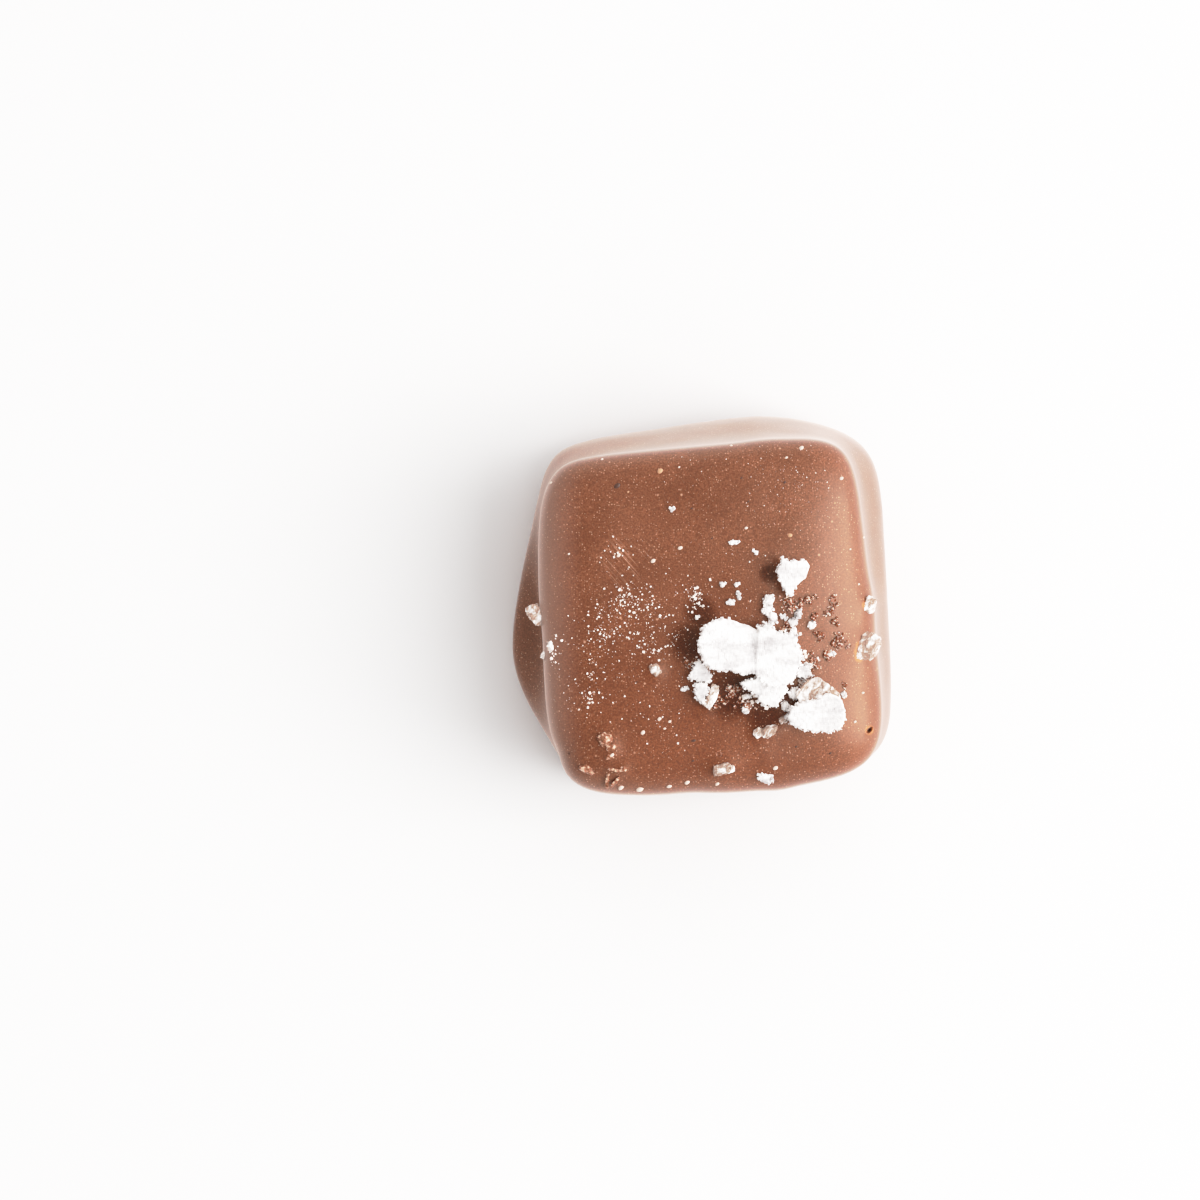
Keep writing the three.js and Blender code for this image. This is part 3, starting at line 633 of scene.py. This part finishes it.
def roughen(piece, cell, step_depth, grain, grain_depth):
    """Steps and grains of crystal on a remeshed skin, pushed along its normals."""
    mesh = piece.data
    normals = [vertex.normal.copy() for vertex in mesh.vertices]
    for vertex, normal in zip(mesh.vertices, normals):
        point = vertex.co / MM
        push = step_depth * (noise.cell(point / cell) - 0.5)
        push += grain_depth * noise.noise(point / grain)
        vertex.co += normal * push * MM
    mesh.update()


def refine_round(mesh, centre, reach, cuts):
    """Divides the faces of the top round a small mark, so that it can be shaped."""
    shape = bmesh.new()
    shape.from_mesh(mesh)
    near = [
        edge for edge in shape.edges
        if all(math.hypot(v.co.x / MM - centre[0], v.co.y / MM - centre[1]) < reach for v in edge.verts)
        and edge.verts[0].co.z > UPPER_HALF * MM
    ]
    bmesh.ops.subdivide_edges(shape, edges=near, cuts=cuts, use_grid_fill=True)
    shape.to_mesh(mesh)
    shape.free()


def relieve_body(mesh):
    """Gives the even body its swells, menisci, marks and faintly wavy skin."""
    count = len(mesh.vertices)
    points = np.empty(3 * count)
    mesh.vertices.foreach_get("co", points)
    points = points.reshape(count, 3) / MM
    share, angle = rim_share(points[:, 0], points[:, 1])
    high = crown_height(1.0, angle)
    top = (share < 1 - TINY) & (points[:, 2] > high - 100 * TINY)
    waves = np.zeros(count)
    for index, point in enumerate(points):
        for length, height in SKIN_WAVES if top[index] else WALL_WAVES:
            waves[index] += height * noise.noise(Vector(point / length))
    fade = np.clip(1.0 - share, 0.0, 1.0) / RIM_FADE
    lift = skin_relief(points[:, 0], points[:, 1]) + waves
    points[top, 2] += (lift * np.minimum(1.0, fade))[top]
    wall = ~top & (points[:, 2] > 10 * TINY)
    swing = waves * np.sin(np.clip(points[:, 2] / high, 0.0, 1.0) * math.pi)
    points[wall, 0] += (swing * np.cos(angle))[wall]
    points[wall, 1] += (swing * np.sin(angle))[wall]
    mesh.vertices.foreach_set("co", (points * MM).ravel())
    mesh.update()


# ---- materials

SMOOTH = {"interpolation_type": "SMOOTHSTEP"}


def add_node(tree, kind, inputs, **options):
    """Adds a node. An input is a constant, a socket, or a node that stands for its first output."""
    made = tree.nodes.new("ShaderNode" + kind)
    for name, option in options.items():
        setattr(made, name, option)
    for key, value in inputs.items():
        if isinstance(value, bpy.types.Node):
            value = next(output for output in value.outputs if output.enabled)
        if isinstance(value, bpy.types.NodeSocket):
            tree.links.new(value, made.inputs[key])
        else:
            made.inputs[key].default_value = value
    return made


def rgba(colour, shares=(1.0, 1.0, 1.0)):
    """A colour as nodes take it, with each channel scaled by its share."""
    return (*(channel * share for channel, share in zip(colour, shares)), 1.0)


def new_material(name):
    """A material, the function that adds a node to it, and the place that its patterns follow."""
    material = bpy.data.materials.new(name)
    material.use_nodes = True
    material.node_tree.nodes.clear()
    add = partial(add_node, material.node_tree)
    return material, add, add("TexCoord", {}).outputs["Object"]


def with_surface(material, inputs):
    """The material, with a surface of these inputs."""
    add = partial(add_node, material.node_tree)
    surface = add("BsdfPrincipled", inputs)
    add("OutputMaterial", {"Surface": surface})
    return material


def two_tone(add, pattern, span, first, second):
    """A colour that goes from the first to the second as a pattern crosses a span."""
    share = add("MapRange", {"Value": pattern, "From Min": span[0], "From Max": span[1]})
    return add("Mix", {"Factor": share, 6: first, 7: second}, data_type="RGBA")


def drawn_noise(add, place_on, size, turn, **inputs):
    """Noise drawn out to a size in mm along each axis, and turned."""
    drawn = add(
        "Mapping",
        {"Vector": place_on, "Rotation": turn, "Scale": [length * MM for length in size]},
        vector_type="TEXTURE",
    )
    return add("TexNoise", {"Vector": drawn, "Scale": 1.0, **inputs})


def near_point(add, place_on, centre, inner, outer, strength=1.0):
    """A mask, full within the inner distance of a point of the plan and 0 past the outer one."""
    point = (centre[0] * MM, centre[1] * MM, 0.0)
    plan = add("VectorMath", {0: place_on, 1: (1.0, 1.0, 0.0)}, operation="MULTIPLY")
    away = add("VectorMath", {0: plan, 1: point}, operation="DISTANCE")
    return add(
        "MapRange",
        {"Value": away, "From Min": inner * MM, "From Max": outer * MM, "To Min": strength, "To Max": 0.0},
        **SMOOTH,
    )


def scattered_specks(add, place_on, spacing, share, width, strength):
    """A mask of round specks of a width in mm; of the cells, `spacing` wide, a share holds one."""
    cells = add("TexVoronoi", {"Vector": place_on, "Scale": 1 / (spacing * MM)})
    draws = add("SeparateColor", {0: cells.outputs["Color"]}).outputs
    chosen = add("Math", {0: draws[0], 1: share}, operation="LESS_THAN")
    reach = add(
        "MapRange", {"Value": draws[1], "To Min": 0.25 * width / spacing, "To Max": 0.5 * width / spacing},
    )
    inside = add(
        "MapRange", {"Value": cells, "From Max": reach, "To Min": strength, "To Max": 0.0}, **SMOOTH,
    )
    return add("Math", {0: inside, 1: chosen}, operation="MULTIPLY")


def tempered_milk_chocolate():
    """Milk chocolate poured over the candy and set in temper.

    Cocoa butter at its skin gives a satin gloss that pales towards the rim. Fine sugar shows as pale
    specks, the milk solids as a soft mottling, and a few rubs as thin pale lines.
    """
    settings = bpy.context.scene.candy_chocolate
    material, add, place_on = new_material("tempered_milk_chocolate")
    darkest, darker, milk, paler = (rgba(settings.milk, shares) for shares in MILK_TONES)

    # Milk solids: soft clouds 3 mm wide, and a fine mottling of 0.12 mm.
    clouds = add("TexNoise", {"Vector": place_on, "Scale": 0.33 / MM, "Detail": 2.0})
    mottle = add("TexNoise", {"Vector": place_on, "Scale": 8 / MM, "Detail": 1.0})
    dark_grain = two_tone(add, clouds, CLOUD_SPAN, darkest, darker)
    pale_grain = two_tone(add, clouds, CLOUD_SPAN, milk, paler)
    colour = two_tone(add, mottle, MOTTLE_SPAN, dark_grain, pale_grain)

    # Painted shade: the lower half is made warmer and darker for the weaker sheen that reflects there,
    # and painted shadow darkens the chocolate round the salt.
    thin = near_point(add, place_on, **LOWER_HALF_SHADE)
    shade_and_damp = 0.0
    for x, y, reach in SHADE_AND_DAMP:
        spot = near_point(add, place_on, (x, y), SHADE_AND_DAMP_CORE * reach, reach)
        shade_and_damp = add("Math", {0: shade_and_damp, 1: spot}, operation="MAXIMUM")
    layers = [("MULTIPLY", thin, rgba(LOWER_HALF_SHADE_TINT)), ("MULTIPLY", shade_and_damp, rgba(PAINTED_SHADE_TINT))]

    # Painted light along two rims of the top: a pale painted sheen at -X, and the lit +X rim painted
    # lighter and more orange.
    spread = add("SeparateXYZ", {0: place_on}).outputs
    high_up = add(
        "MapRange",
        {"Value": spread["Z"], "From Min": PAINTED_RIM_HEIGHTS[0] * MM, "From Max": PAINTED_RIM_HEIGHTS[1] * MM},
        **SMOOTH,
    )
    for begins, ends, share, code in PAINTED_RIM_LIGHT:
        outward = add(
            "MapRange",
            {"Value": spread["X"], "From Min": begins * MM, "From Max": ends * MM, "To Max": share},
            **SMOOTH,
        )
        rim_light_mask = add("Math", {0: outward, 1: high_up}, operation="MULTIPLY")
        layers.append(("MIX", rim_light_mask, rgba(linear_colour(code))))

    # Sugar: fine specks everywhere, more of them towards one corner, and a few larger ones.
    fine, crowded, coarse = (scattered_specks(add, place_on, *specks) for specks in SUGAR_SPECKS)
    corner = near_point(add, place_on, **SUGAR_CORNER)
    crowded = add("Math", {0: crowded, 1: corner}, operation="MULTIPLY")

    # Rubs: thin lines, mostly in one direction, in one place of the top.
    lines = drawn_noise(add, place_on, RUB_SIZE, (0.0, 0.0, math.radians(RUB_TURN)), Detail=3.0)
    narrow = add("MapRange", {"Value": lines, "From Min": 0.56, "From Max": 0.70})
    patch = near_point(add, place_on, **RUB_PATCH)
    rubbed = add("Math", {0: narrow, 1: patch}, operation="MULTIPLY")
    layers += [("MIX", mask, rgba(settings.sugar)) for mask in (fine, crowded, coarse, rubbed)]

    # The caramel glows through where the coat is thin: by the crystals of the rim and the pinhole.
    for x, y, reach in AMBER:
        glow = near_point(add, place_on, (x, y), AMBER_CORE * reach, reach, AMBER_STRENGTH)
        layers.append(("MIX", glow, rgba(settings.caramel)))
    # Painted shade: the depth of the pinhole is painted near black.
    inner, outer = (share * max(PINHOLE["reach"]) for share in PINHOLE["painted_shade_reach"])
    pinhole_shade = near_point(add, place_on, PINHOLE["centre"], inner, outer)
    layers.append(("MIX", pinhole_shade, rgba(linear_colour(PINHOLE["painted_shade"]))))
    for blend, mask, shown in layers:
        inputs = {"Factor": mask, 6: colour, 7: shown}
        colour = add("Mix", inputs, data_type="RGBA", blend_type=blend)

    # The skin is satin, and wet and smooth where the brine lies.
    height = add("Math", {0: fine, 1: 0.75, 2: mottle}, operation="MULTIPLY_ADD")
    bump = add("Bump", {"Height": height, "Strength": 0.35, "Distance": 0.012 * MM})
    satin = add("MapRange", {"Value": clouds, "To Min": 0.30, "To Max": 0.38})
    dryness = add("MapRange", {"Value": shade_and_damp, "To Min": 1.0, "To Max": 0.4})
    gloss = add("Math", {0: satin, 1: dryness}, operation="MULTIPLY")
    return with_surface(material, {
        "Base Color": colour, "Roughness": gloss, "Normal": bump, "IOR": 1.5,
        "Subsurface Weight": 0.25, "Subsurface Scale": 0.8 * MM, "Subsurface Radius": (1.0, 0.45, 0.25),
        "Specular IOR Level": 0.72, "Specular Tint": (1.0, 0.75, 0.58, 1.0),
        "Sheen Weight": 0.7, "Sheen Roughness": 0.42, "Sheen Tint": (1.0, 0.84, 0.76, 1.0),
    })


def opaque_flake_salt():
    """Flake salt dried on a pan.

    It is a mass of tiny crystals that scatters all light: white and matte, with faint grey streaks
    where it is denser and lets light through.
    """
    white = bpy.context.scene.candy_salt.white
    material, add, place_on = new_material("opaque_flake_salt")
    streaks = drawn_noise(add, place_on, (2.6, 0.9, 1.0), (0.0, 0.0, 0.1), Detail=5.0, Roughness=0.6)
    grains = add("TexNoise", {"Vector": place_on, "Scale": 9 / MM, "Detail": 2.0})
    bump = add("Bump", {"Height": grains, "Strength": 0.4, "Distance": 0.03 * MM})
    return with_surface(material, {
        "Base Color": two_tone(add, streaks, STREAK_SPAN, rgba(white), rgba(white, STREAK_SHARES)),
        "Normal": bump, "Roughness": 0.5, "IOR": SALT_IOR, "Subsurface Weight": 0.2,
        "Subsurface Scale": 0.3 * MM, "Subsurface Radius": (1.0, 0.95, 0.9),
    })


def half_clear_salt():
    """Solid crystal of salt: clear as glass in places, with white cracks and a wet gloss."""
    settings = bpy.context.scene.candy_salt
    material, add, place_on = new_material("half_clear_salt")
    cracks = drawn_noise(
        add, place_on, (1.0, 0.5, 0.7), (0.2, 0.1, 0.9), Detail=4.0, Roughness=0.6, Distortion=0.8
    )
    clear = add(
        "MapRange",
        {"Value": cracks, "From Min": CRACK_SPAN[0], "From Max": CRACK_SPAN[1], "To Min": 0.6, "To Max": 0.0},
    )
    bump = add("Bump", {"Height": cracks, "Strength": 0.5, "Distance": 0.04 * MM})
    return with_surface(material, {
        "Base Color": two_tone(add, cracks, CRACK_SPAN, rgba(settings.clear), rgba(settings.white)),
        "Normal": bump, "Roughness": 0.16, "IOR": SALT_IOR, "Transmission Weight": clear,
    })


def filmed_salt(name, codes, roughness, bump_depth, width):
    """Salt under a glossy film of chocolate, paler in patches where the film is thin."""
    material, add, place_on = new_material(name)
    patches = add("TexNoise", {"Vector": place_on, "Scale": 1 / (width * MM), "Detail": 3.0})
    thick, thin = (rgba(linear_colour(code)) for code in codes)
    bump = add("Bump", {"Height": patches, "Strength": 0.5, "Distance": bump_depth * MM})
    return with_surface(material, {
        "Base Color": two_tone(add, patches, FILM_SPAN, thick, thin), "Normal": bump,
        "Roughness": roughness, "IOR": 1.5, "Subsurface Weight": 0.15, "Subsurface Scale": 0.4 * MM,
        "Specular Tint": (1.0, 0.72, 0.56, 1.0),
    })


def plain_finish(name, code, roughness):
    """A small mark of one kind, mottled a little so that no two are quite alike."""
    material, add, place_on = new_material(name)
    base = linear_colour(code)
    uneven = add("TexNoise", {"Vector": place_on, "Scale": 2.5 / MM, "Detail": 2.0})
    colour = two_tone(add, uneven, (0.0, 1.0), rgba(base, (0.8, 0.8, 0.8)), rgba(base))
    return with_surface(material, {"Base Color": colour, "Roughness": roughness})


def white_laminate():
    """Table top of matte white laminate."""
    material, *_ = new_material("white_laminate")
    floor = bpy.context.scene.candy_stage.floor
    return with_surface(material, {"Base Color": rgba(floor), "Roughness": 0.6})


# ---- operators


class CANDY_OT_body(bpy.types.Operator):
    """Builds the chocolate body over the solid's form"""

    bl_idname = "candy.body"
    bl_label = "Chocolate body"

    def execute(self, context):
        angle = np.linspace(0.0, 2.0 * math.pi, BODY_SEGMENTS, endpoint=False)
        rings = body_rings(angle)
        points = [(*OUTLINE_CENTRE, context.scene.candy_chocolate.crown_height / MM)]
        for radius, height in rings:
            xs = OUTLINE_CENTRE[0] + radius * np.cos(angle)
            ys = OUTLINE_CENTRE[1] + radius * np.sin(angle)
            points.extend(zip(xs.tolist(), ys.tolist(), np.broadcast_to(height, xs.shape).tolist()))
        points.append((*OUTLINE_CENTRE, 0.0))
        faces = []
        for step in range(BODY_SEGMENTS):
            after = (step + 1) % BODY_SEGMENTS
            faces.append((0, 1 + step, 1 + after))
            for ring in range(len(rings) - 1):
                high = 1 + ring * BODY_SEGMENTS
                low = high + BODY_SEGMENTS
                faces.append((high + step, low + step, low + after, high + after))
            faces.append((low + step, len(points) - 1, low + after))
        body = object_from("chocolate_body", points, faces)
        refine_round(body.data, PINHOLE["centre"], reach=0.55, cuts=5)
        refine_round(body.data, BUBBLE["centre"], reach=0.60, cuts=3)
        relieve_body(body.data)
        place(body, tempered_milk_chocolate())
        return {"FINISHED"}


def dense_outline(corners):
    """The corners of a flake, rounded once and divided into short steps."""
    rounded = []
    for index, (x, y) in enumerate(corners):
        nx, ny = corners[(index + 1) % len(corners)]
        for near, far in ((1 - CORNER_CUT, CORNER_CUT), (CORNER_CUT, 1 - CORNER_CUT)):
            rounded.append((near * x + far * nx, near * y + far * ny))
    dense = []
    for index, (x, y) in enumerate(rounded):
        nx, ny = rounded[(index + 1) % len(rounded)]
        parts = max(1, round(math.hypot(nx - x, ny - y) / RIM_STEP))
        dense.extend(((x + (nx - x) * i / parts, y + (ny - y) * i / parts) for i in range(parts)))
    return dense


def is_clean(clean, dx, dy):
    """Whether a point of the rim lies where the flake broke cleanly."""
    bearing, half_width = clean
    away = (math.degrees(math.atan2(dy, dx)) - bearing + 180) % 360 - 180
    return abs(away) < half_width


def crumb_span(draw):
    """The size of a crumb: most are small."""
    return CRUMB_SPAN[0] + CRUMB_SPAN[1] * next(draw) ** 2


def add_flake(soup, crumbs, flake, draw):
    """A flake with a ragged rim, and sharp crystallites along it."""
    (cx, cy), rise, thickness, lean, frill, clean, corners = flake
    ground = surface_height(cx, cy)
    rim = []
    for dx, dy in dense_outline(corners):
        ragged, coarse, fine = (
            height * noise.noise(Vector((waves * (cx + dx), waves * (cy + dy), level)))
            for waves, level, height in RIM_NOISES
        )
        if not is_clean(clean, dx, dy):
            ragged += frill * (coarse + fine) - RIM_INSET
        reach = math.hypot(dx, dy)
        rim.append((dx * (1 + ragged / reach), dy * (1 + ragged / reach)))
    levels = (
        (FLAKE_FOOT, -FLAKE_SINK, 0), (FLAKE_UNDERSIDE, rise - thickness, 1),
        (1.0, rise - 0.5 * thickness, 1), (FLAKE_SHOULDER, rise - FLAKE_BEVEL, 1), (FLAKE_TOP, rise, 1),
    )
    points = []
    for width, lift, leaning in levels:
        for dx, dy in rim:
            tip = leaning * (lean[0] * dx + lean[1] * dy)
            points.append((cx + width * dx, cy + width * dy, ground + lift + tip))
    count = len(rim)
    faces = [tuple(range(count - 1, -1, -1)), tuple(range(len(points) - count, len(points)))]
    for start in range(0, len(points) - count, count):
        for step in range(count):
            low, after = start + step, start + (step + 1) % count
            faces.append((low, after, after + count, low + count))
    soup.add(points, faces)
    for dx, dy in 2 * rim:
        if is_clean(clean, dx, dy) or next(draw) > CRUMB_SHARE[0] + CRUMB_SHARE[1] * frill:
            continue
        span = crumb_span(draw)
        out = 1 + (CRUMB_OVERHANG * frill * next(draw) ** 1.5 - CRUMB_INSET) / math.hypot(dx, dy)
        level = rise - thickness * next(draw)
        centre = (cx + out * dx, cy + out * dy, ground + level + lean[0] * dx + lean[1] * dy)
        size = (CRUMB_LENGTH * span, span * from_range(CRUMB_WIDTH, draw), CRUMB_HEIGHT * span)
        add_box(crumbs, centre, size, 180 * next(draw), draw, tilt=1.2)


def add_drift(soup):
    """A low wedge of salt that fills the step between two flakes."""
    ground = surface_height(*FLAKES[2][0])
    top = [(x, y, ground + lift) for x, y, lift in DRIFT]
    bottom = [(x, y, z - DRIFT_DEPTH) for x, y, z in top]
    sides = [(i, (i + 1) % 4, (i + 1) % 4 + 4, i + 4) for i in range(4)]
    soup.add(top + bottom, [(3, 2, 1, 0), (4, 5, 6, 7), *sides])


def crumble(soup, crumbs, block, draw):
    """A white block as the crumb it is: a faceted core with small crystallites stuck to it."""
    x, y, length, width, height, turn, proud = block
    add_crystal(soup, block, draw)
    ground = surface_height(x, y)
    cos, sin = math.cos(math.radians(turn)), math.sin(math.radians(turn))
    for _ in range(round(CRUMBS_PER_MM * max(length, width))):
        bearing = 2 * math.pi * next(draw)
        out = from_range(CRUMB_OUT, draw)
        u, v = out * length * math.cos(bearing), out * width * math.sin(bearing)
        span = crumb_span(draw)
        centre = (x + cos * u - sin * v, y + sin * u + cos * v, ground + height * proud * next(draw))
        size = (span, span, CRUMB_HEIGHT * span)
        add_box(crumbs, centre, size, 180 * next(draw), draw, tilt=2.0)


class CANDY_OT_flakes(bpy.types.Operator):
    """Builds the opaque white flakes and crumbs"""

    bl_idname = "candy.flakes"
    bl_label = "Opaque flakes"

    def execute(self, context):
        draw = random_source(SEEDS["flakes"])
        soup, crumbs = Soup(), Soup()
        for flake in FLAKES:
            add_flake(soup, crumbs, flake, draw)
        add_drift(soup)
        for block in WHITE_BLOCKS:
            crumble(soup, crumbs, block, draw)
        material = opaque_flake_salt()
        place_soup("salt_flakes", soup, material, SKINS["flakes"])
        place_soup("salt_crumbs", crumbs, material)
        return {"FINISHED"}


class CANDY_OT_crystals(bpy.types.Operator):
    """Builds the half-clear crystals"""

    bl_idname = "candy.crystals"
    bl_label = "Clear crystals"

    def execute(self, context):
        draw = random_source(SEEDS["crystals"])
        soup = Soup()
        add_flake(soup, soup, CLEAR_PLATE, draw)
        for block in CLEAR_BLOCKS:
            add_crystal(soup, block, draw)
        place_soup("salt_crystals", soup, half_clear_salt(), SKINS["crystals"])
        return {"FINISHED"}


class CANDY_OT_coated(bpy.types.Operator):
    """Builds the crystals that the chocolate has half covered"""

    bl_idname = "candy.coated"
    bl_label = "Coated crystals"

    def execute(self, context):
        draw = random_source(SEEDS["coated"])
        soup = Soup()
        for block in COATED_BLOCKS:
            add_crystal(soup, block, draw)
        film = filmed_salt(
            "chocolate_film_on_crystal", ("7a4a34", "d6ae98"), roughness=0.18, bump_depth=0.06, width=0.25
        )
        place_soup("coated_crystals", soup, film, SKINS["coated"])
        return {"FINISHED"}


def scatter(patches, draw, wear):
    """Grains that lie in patches, dense in the middle, none past the rim of the top."""
    soup = Soup()
    for cx, cy, reach_x, reach_y, count, low, high in patches:
        for _ in range(count):
            x = cx + reach_x * (next(draw) + next(draw) + next(draw) - 1.5) / 1.5
            y = cy + reach_y * (next(draw) + next(draw) + next(draw) - 1.5) / 1.5
            span = low + (high - low) * next(draw) ** GRAIN_RARITY
            turn = 180 * next(draw)
            if rim_share(x, y)[0] > RIM_SHARE:
                continue
            size = (span, span * from_range(GRAIN_WIDTH, wear), span * from_range(GRAIN_HEIGHT, wear))
            centre = (x, y, surface_height(x, y) + size[2] * (GRAIN_PROUD - 0.5))
            add_box(soup, centre, size, turn, wear, tilt=0.9, wear=0.25)
    return soup


class CANDY_OT_grains(bpy.types.Operator):
    """Scatters the fine salt, dry and wetted by the chocolate"""

    bl_idname = "candy.grains"
    bl_label = "Salt dust"

    def execute(self, context):
        draw = random_source(context.scene.candy_salt.seed)
        dry = scatter(DRY_PATCHES, draw, random_source(SEEDS["dry wear"]))
        place_soup("salt_dust", dry, plain_finish("dry_salt_dust", "fff0e6", roughness=0.5))
        wet = scatter(WET_PATCHES, draw, random_source(SEEDS["wet wear"]))
        film = filmed_salt(
            "chocolate_film_on_grain", ("723a21", "efd6c8"), roughness=0.22, bump_depth=0.03, width=0.16
        )
        place_soup("wetted_grains", wet, film)
        return {"FINISHED"}


def add_button(soup, x, y, width, thickness, stretch, draw):
    """A low mark that stands a little over the skin, longer one way than the other."""
    ground = surface_height(x, y) + skin_relief(np.array([x]), np.array([y]))[0]
    points = [(x, y, ground + thickness)]
    lie = 0.5 + 0.6 * (next(draw) - 0.5)
    sides = MARK_SIDES
    for share, level in MARK_RINGS:
        for side in range(sides):
            turn = 2 * math.pi * side / sides
            reach = 0.5 * width * share * from_range(MARK_REACH, draw)
            along, across = reach * stretch * math.cos(turn), reach / stretch * math.sin(turn)
            points.append((
                x + along * math.cos(lie) - across * math.sin(lie),
                y + along * math.sin(lie) + across * math.cos(lie),
                ground + thickness * level,
            ))
    faces = []
    for side in range(sides):
        after = (side + 1) % sides
        faces.append((0, 1 + 2 * sides + side, 1 + 2 * sides + after))
        for low in (1, 1 + sides):
            high = low + sides
            faces.append((low + side, low + after, high + after, high + side))
    faces.append(tuple(range(sides, 0, -1)))
    soup.add(points, faces)


class CANDY_OT_marks(bpy.types.Operator):
    """Adds the single pale dots and dark flecks of the skin"""

    bl_idname = "candy.marks"
    bl_label = "Dots and flecks"

    def execute(self, context):
        draw = random_source(SEEDS["marks"])
        for name, marks, thickness, stretch, finish in MARKS:
            soup = Soup()
            for x, y, width in marks:
                add_button(soup, x, y, width, thickness * width, stretch, draw)
            place_soup(name, soup, plain_finish(*finish), smooth=True)
        return {"FINISHED"}


def direction(bearing, elevation):
    """The way towards a bearing from +X and an elevation, both in degrees."""
    turn, climb = math.radians(bearing), math.radians(elevation)
    return Vector((math.cos(turn) * math.cos(climb), math.sin(turn) * math.cos(climb), math.sin(climb)))


def bright_room(strength):
    """A pale room, each of its lights fading softly round its own direction."""
    world = bpy.data.worlds.new("bright_room")
    world.use_nodes = True
    world.node_tree.nodes.clear()
    add = partial(add_node, world.node_tree)
    way = add("TexCoord", {}).outputs["Generated"]
    total = ROOM_LEVEL * strength
    for bearing, elevation, tightness, radiance in ROOM_LIGHTS:
        centre = direction(bearing, elevation)
        facing = add("VectorMath", {0: way, 1: centre}, operation="DOT_PRODUCT")
        front = add("Math", {0: facing, 1: 0.0}, operation="MAXIMUM")
        lobe = add("Math", {0: front, 1: tightness}, operation="POWER")
        added = {0: lobe, 1: radiance * strength, 2: total}
        total = add("Math", added, operation="MULTIPLY_ADD")
    light = add("Background", {"Color": (1, 1, 1, 1), "Strength": total})
    add("OutputWorld", {"Surface": light})
    return world


def add_window(strength):
    """A tall soft window that faces the candy."""
    light = bpy.data.lights.new("window", "AREA")
    light.shape = "RECTANGLE"
    light.size = WINDOW["width"] * MM
    light.size_y = WINDOW["height"] * MM
    light.energy = WINDOW["power"] * strength
    window = bpy.data.objects.new("window", light)
    towards = direction(WINDOW["bearing"], WINDOW["elevation"])
    window.location = towards * WINDOW["distance"] * MM
    window.rotation_euler = towards.to_track_quat("Z", "Y").to_euler()
    bpy.context.scene.collection.objects.link(window)


def set_tone(view):
    """Sets the exposure curve."""
    view.view_transform = "Standard"
    view.use_curve_mapping = True
    view.curve_mapping.white_level = (TONE_WHITE, TONE_WHITE, TONE_WHITE)
    curve = view.curve_mapping.curves[3]
    for light_in, light_out in TONE_POINTS:
        curve.points.new(light_in / TONE_WHITE, light_out)
    view.curve_mapping.update()


class CANDY_OT_stage(bpy.types.Operator):
    """Lays the floor and sets the light and the camera"""

    bl_idname = "candy.stage"
    bl_label = "Studio stage"

    def execute(self, context):
        settings = context.scene.candy_stage
        scene = context.scene
        corners = [
            (FLOOR_HALF * sx, FLOOR_HALF * sy, 0.0) for sx, sy in ((-1, -1), (1, -1), (1, 1), (-1, 1))
        ]
        floor = object_from("studio_floor", corners, [(0, 1, 2, 3)])
        floor.data.materials.append(white_laminate())

        scene.world = bright_room(settings.room)
        add_window(settings.window)
        set_tone(scene.view_settings)

        lens = bpy.data.cameras.new("overhead_camera")
        lens.sensor_width = 36.0
        crown = scene.candy_chocolate.crown_height
        lens.lens = lens.sensor_width * (settings.camera_height - crown) / settings.view_width
        lens.clip_start = 0.01
        camera = bpy.data.objects.new("overhead_camera", lens)
        camera.location = (CAMERA_PLAN[0] * MM, CAMERA_PLAN[1] * MM, settings.camera_height)
        scene.collection.objects.link(camera)
        scene.camera = camera
        return {"FINISHED"}


class CANDY_PT_panel(bpy.types.Panel):
    """Lists the candy's pieces in the order they are built"""

    bl_idname = "CANDY_PT_panel"
    bl_label = "Salted caramel"
    bl_space_type = "VIEW_3D"
    bl_region_type = "UI"
    bl_category = "Candy"

    def draw(self, context):
        for operator in OPERATORS:
            self.layout.operator(operator.bl_idname)


SETTINGS = {
    "candy_chocolate": ChocolateSettings, "candy_salt": SaltSettings, "candy_stage": StageSettings,
}
OPERATORS = (
    CANDY_OT_body, CANDY_OT_flakes, CANDY_OT_crystals, CANDY_OT_coated, CANDY_OT_grains, CANDY_OT_marks,
    CANDY_OT_stage,
)
CLASSES = (*SETTINGS.values(), *OPERATORS, CANDY_PT_panel)


def register():
    for cls in CLASSES:
        bpy.utils.register_class(cls)
    for name, settings in SETTINGS.items():
        setattr(bpy.types.Scene, name, PointerProperty(type=settings))


def unregister():
    for name in SETTINGS:
        delattr(bpy.types.Scene, name)
    for cls in reversed(CLASSES):
        bpy.utils.unregister_class(cls)


def main():
    register()
    bpy.ops.candy.body()
    bpy.ops.candy.flakes()
    bpy.ops.candy.crystals()
    bpy.ops.candy.coated()
    bpy.ops.candy.grains()
    bpy.ops.candy.marks()
    bpy.ops.candy.stage()


if __name__ == "__main__":
    main()
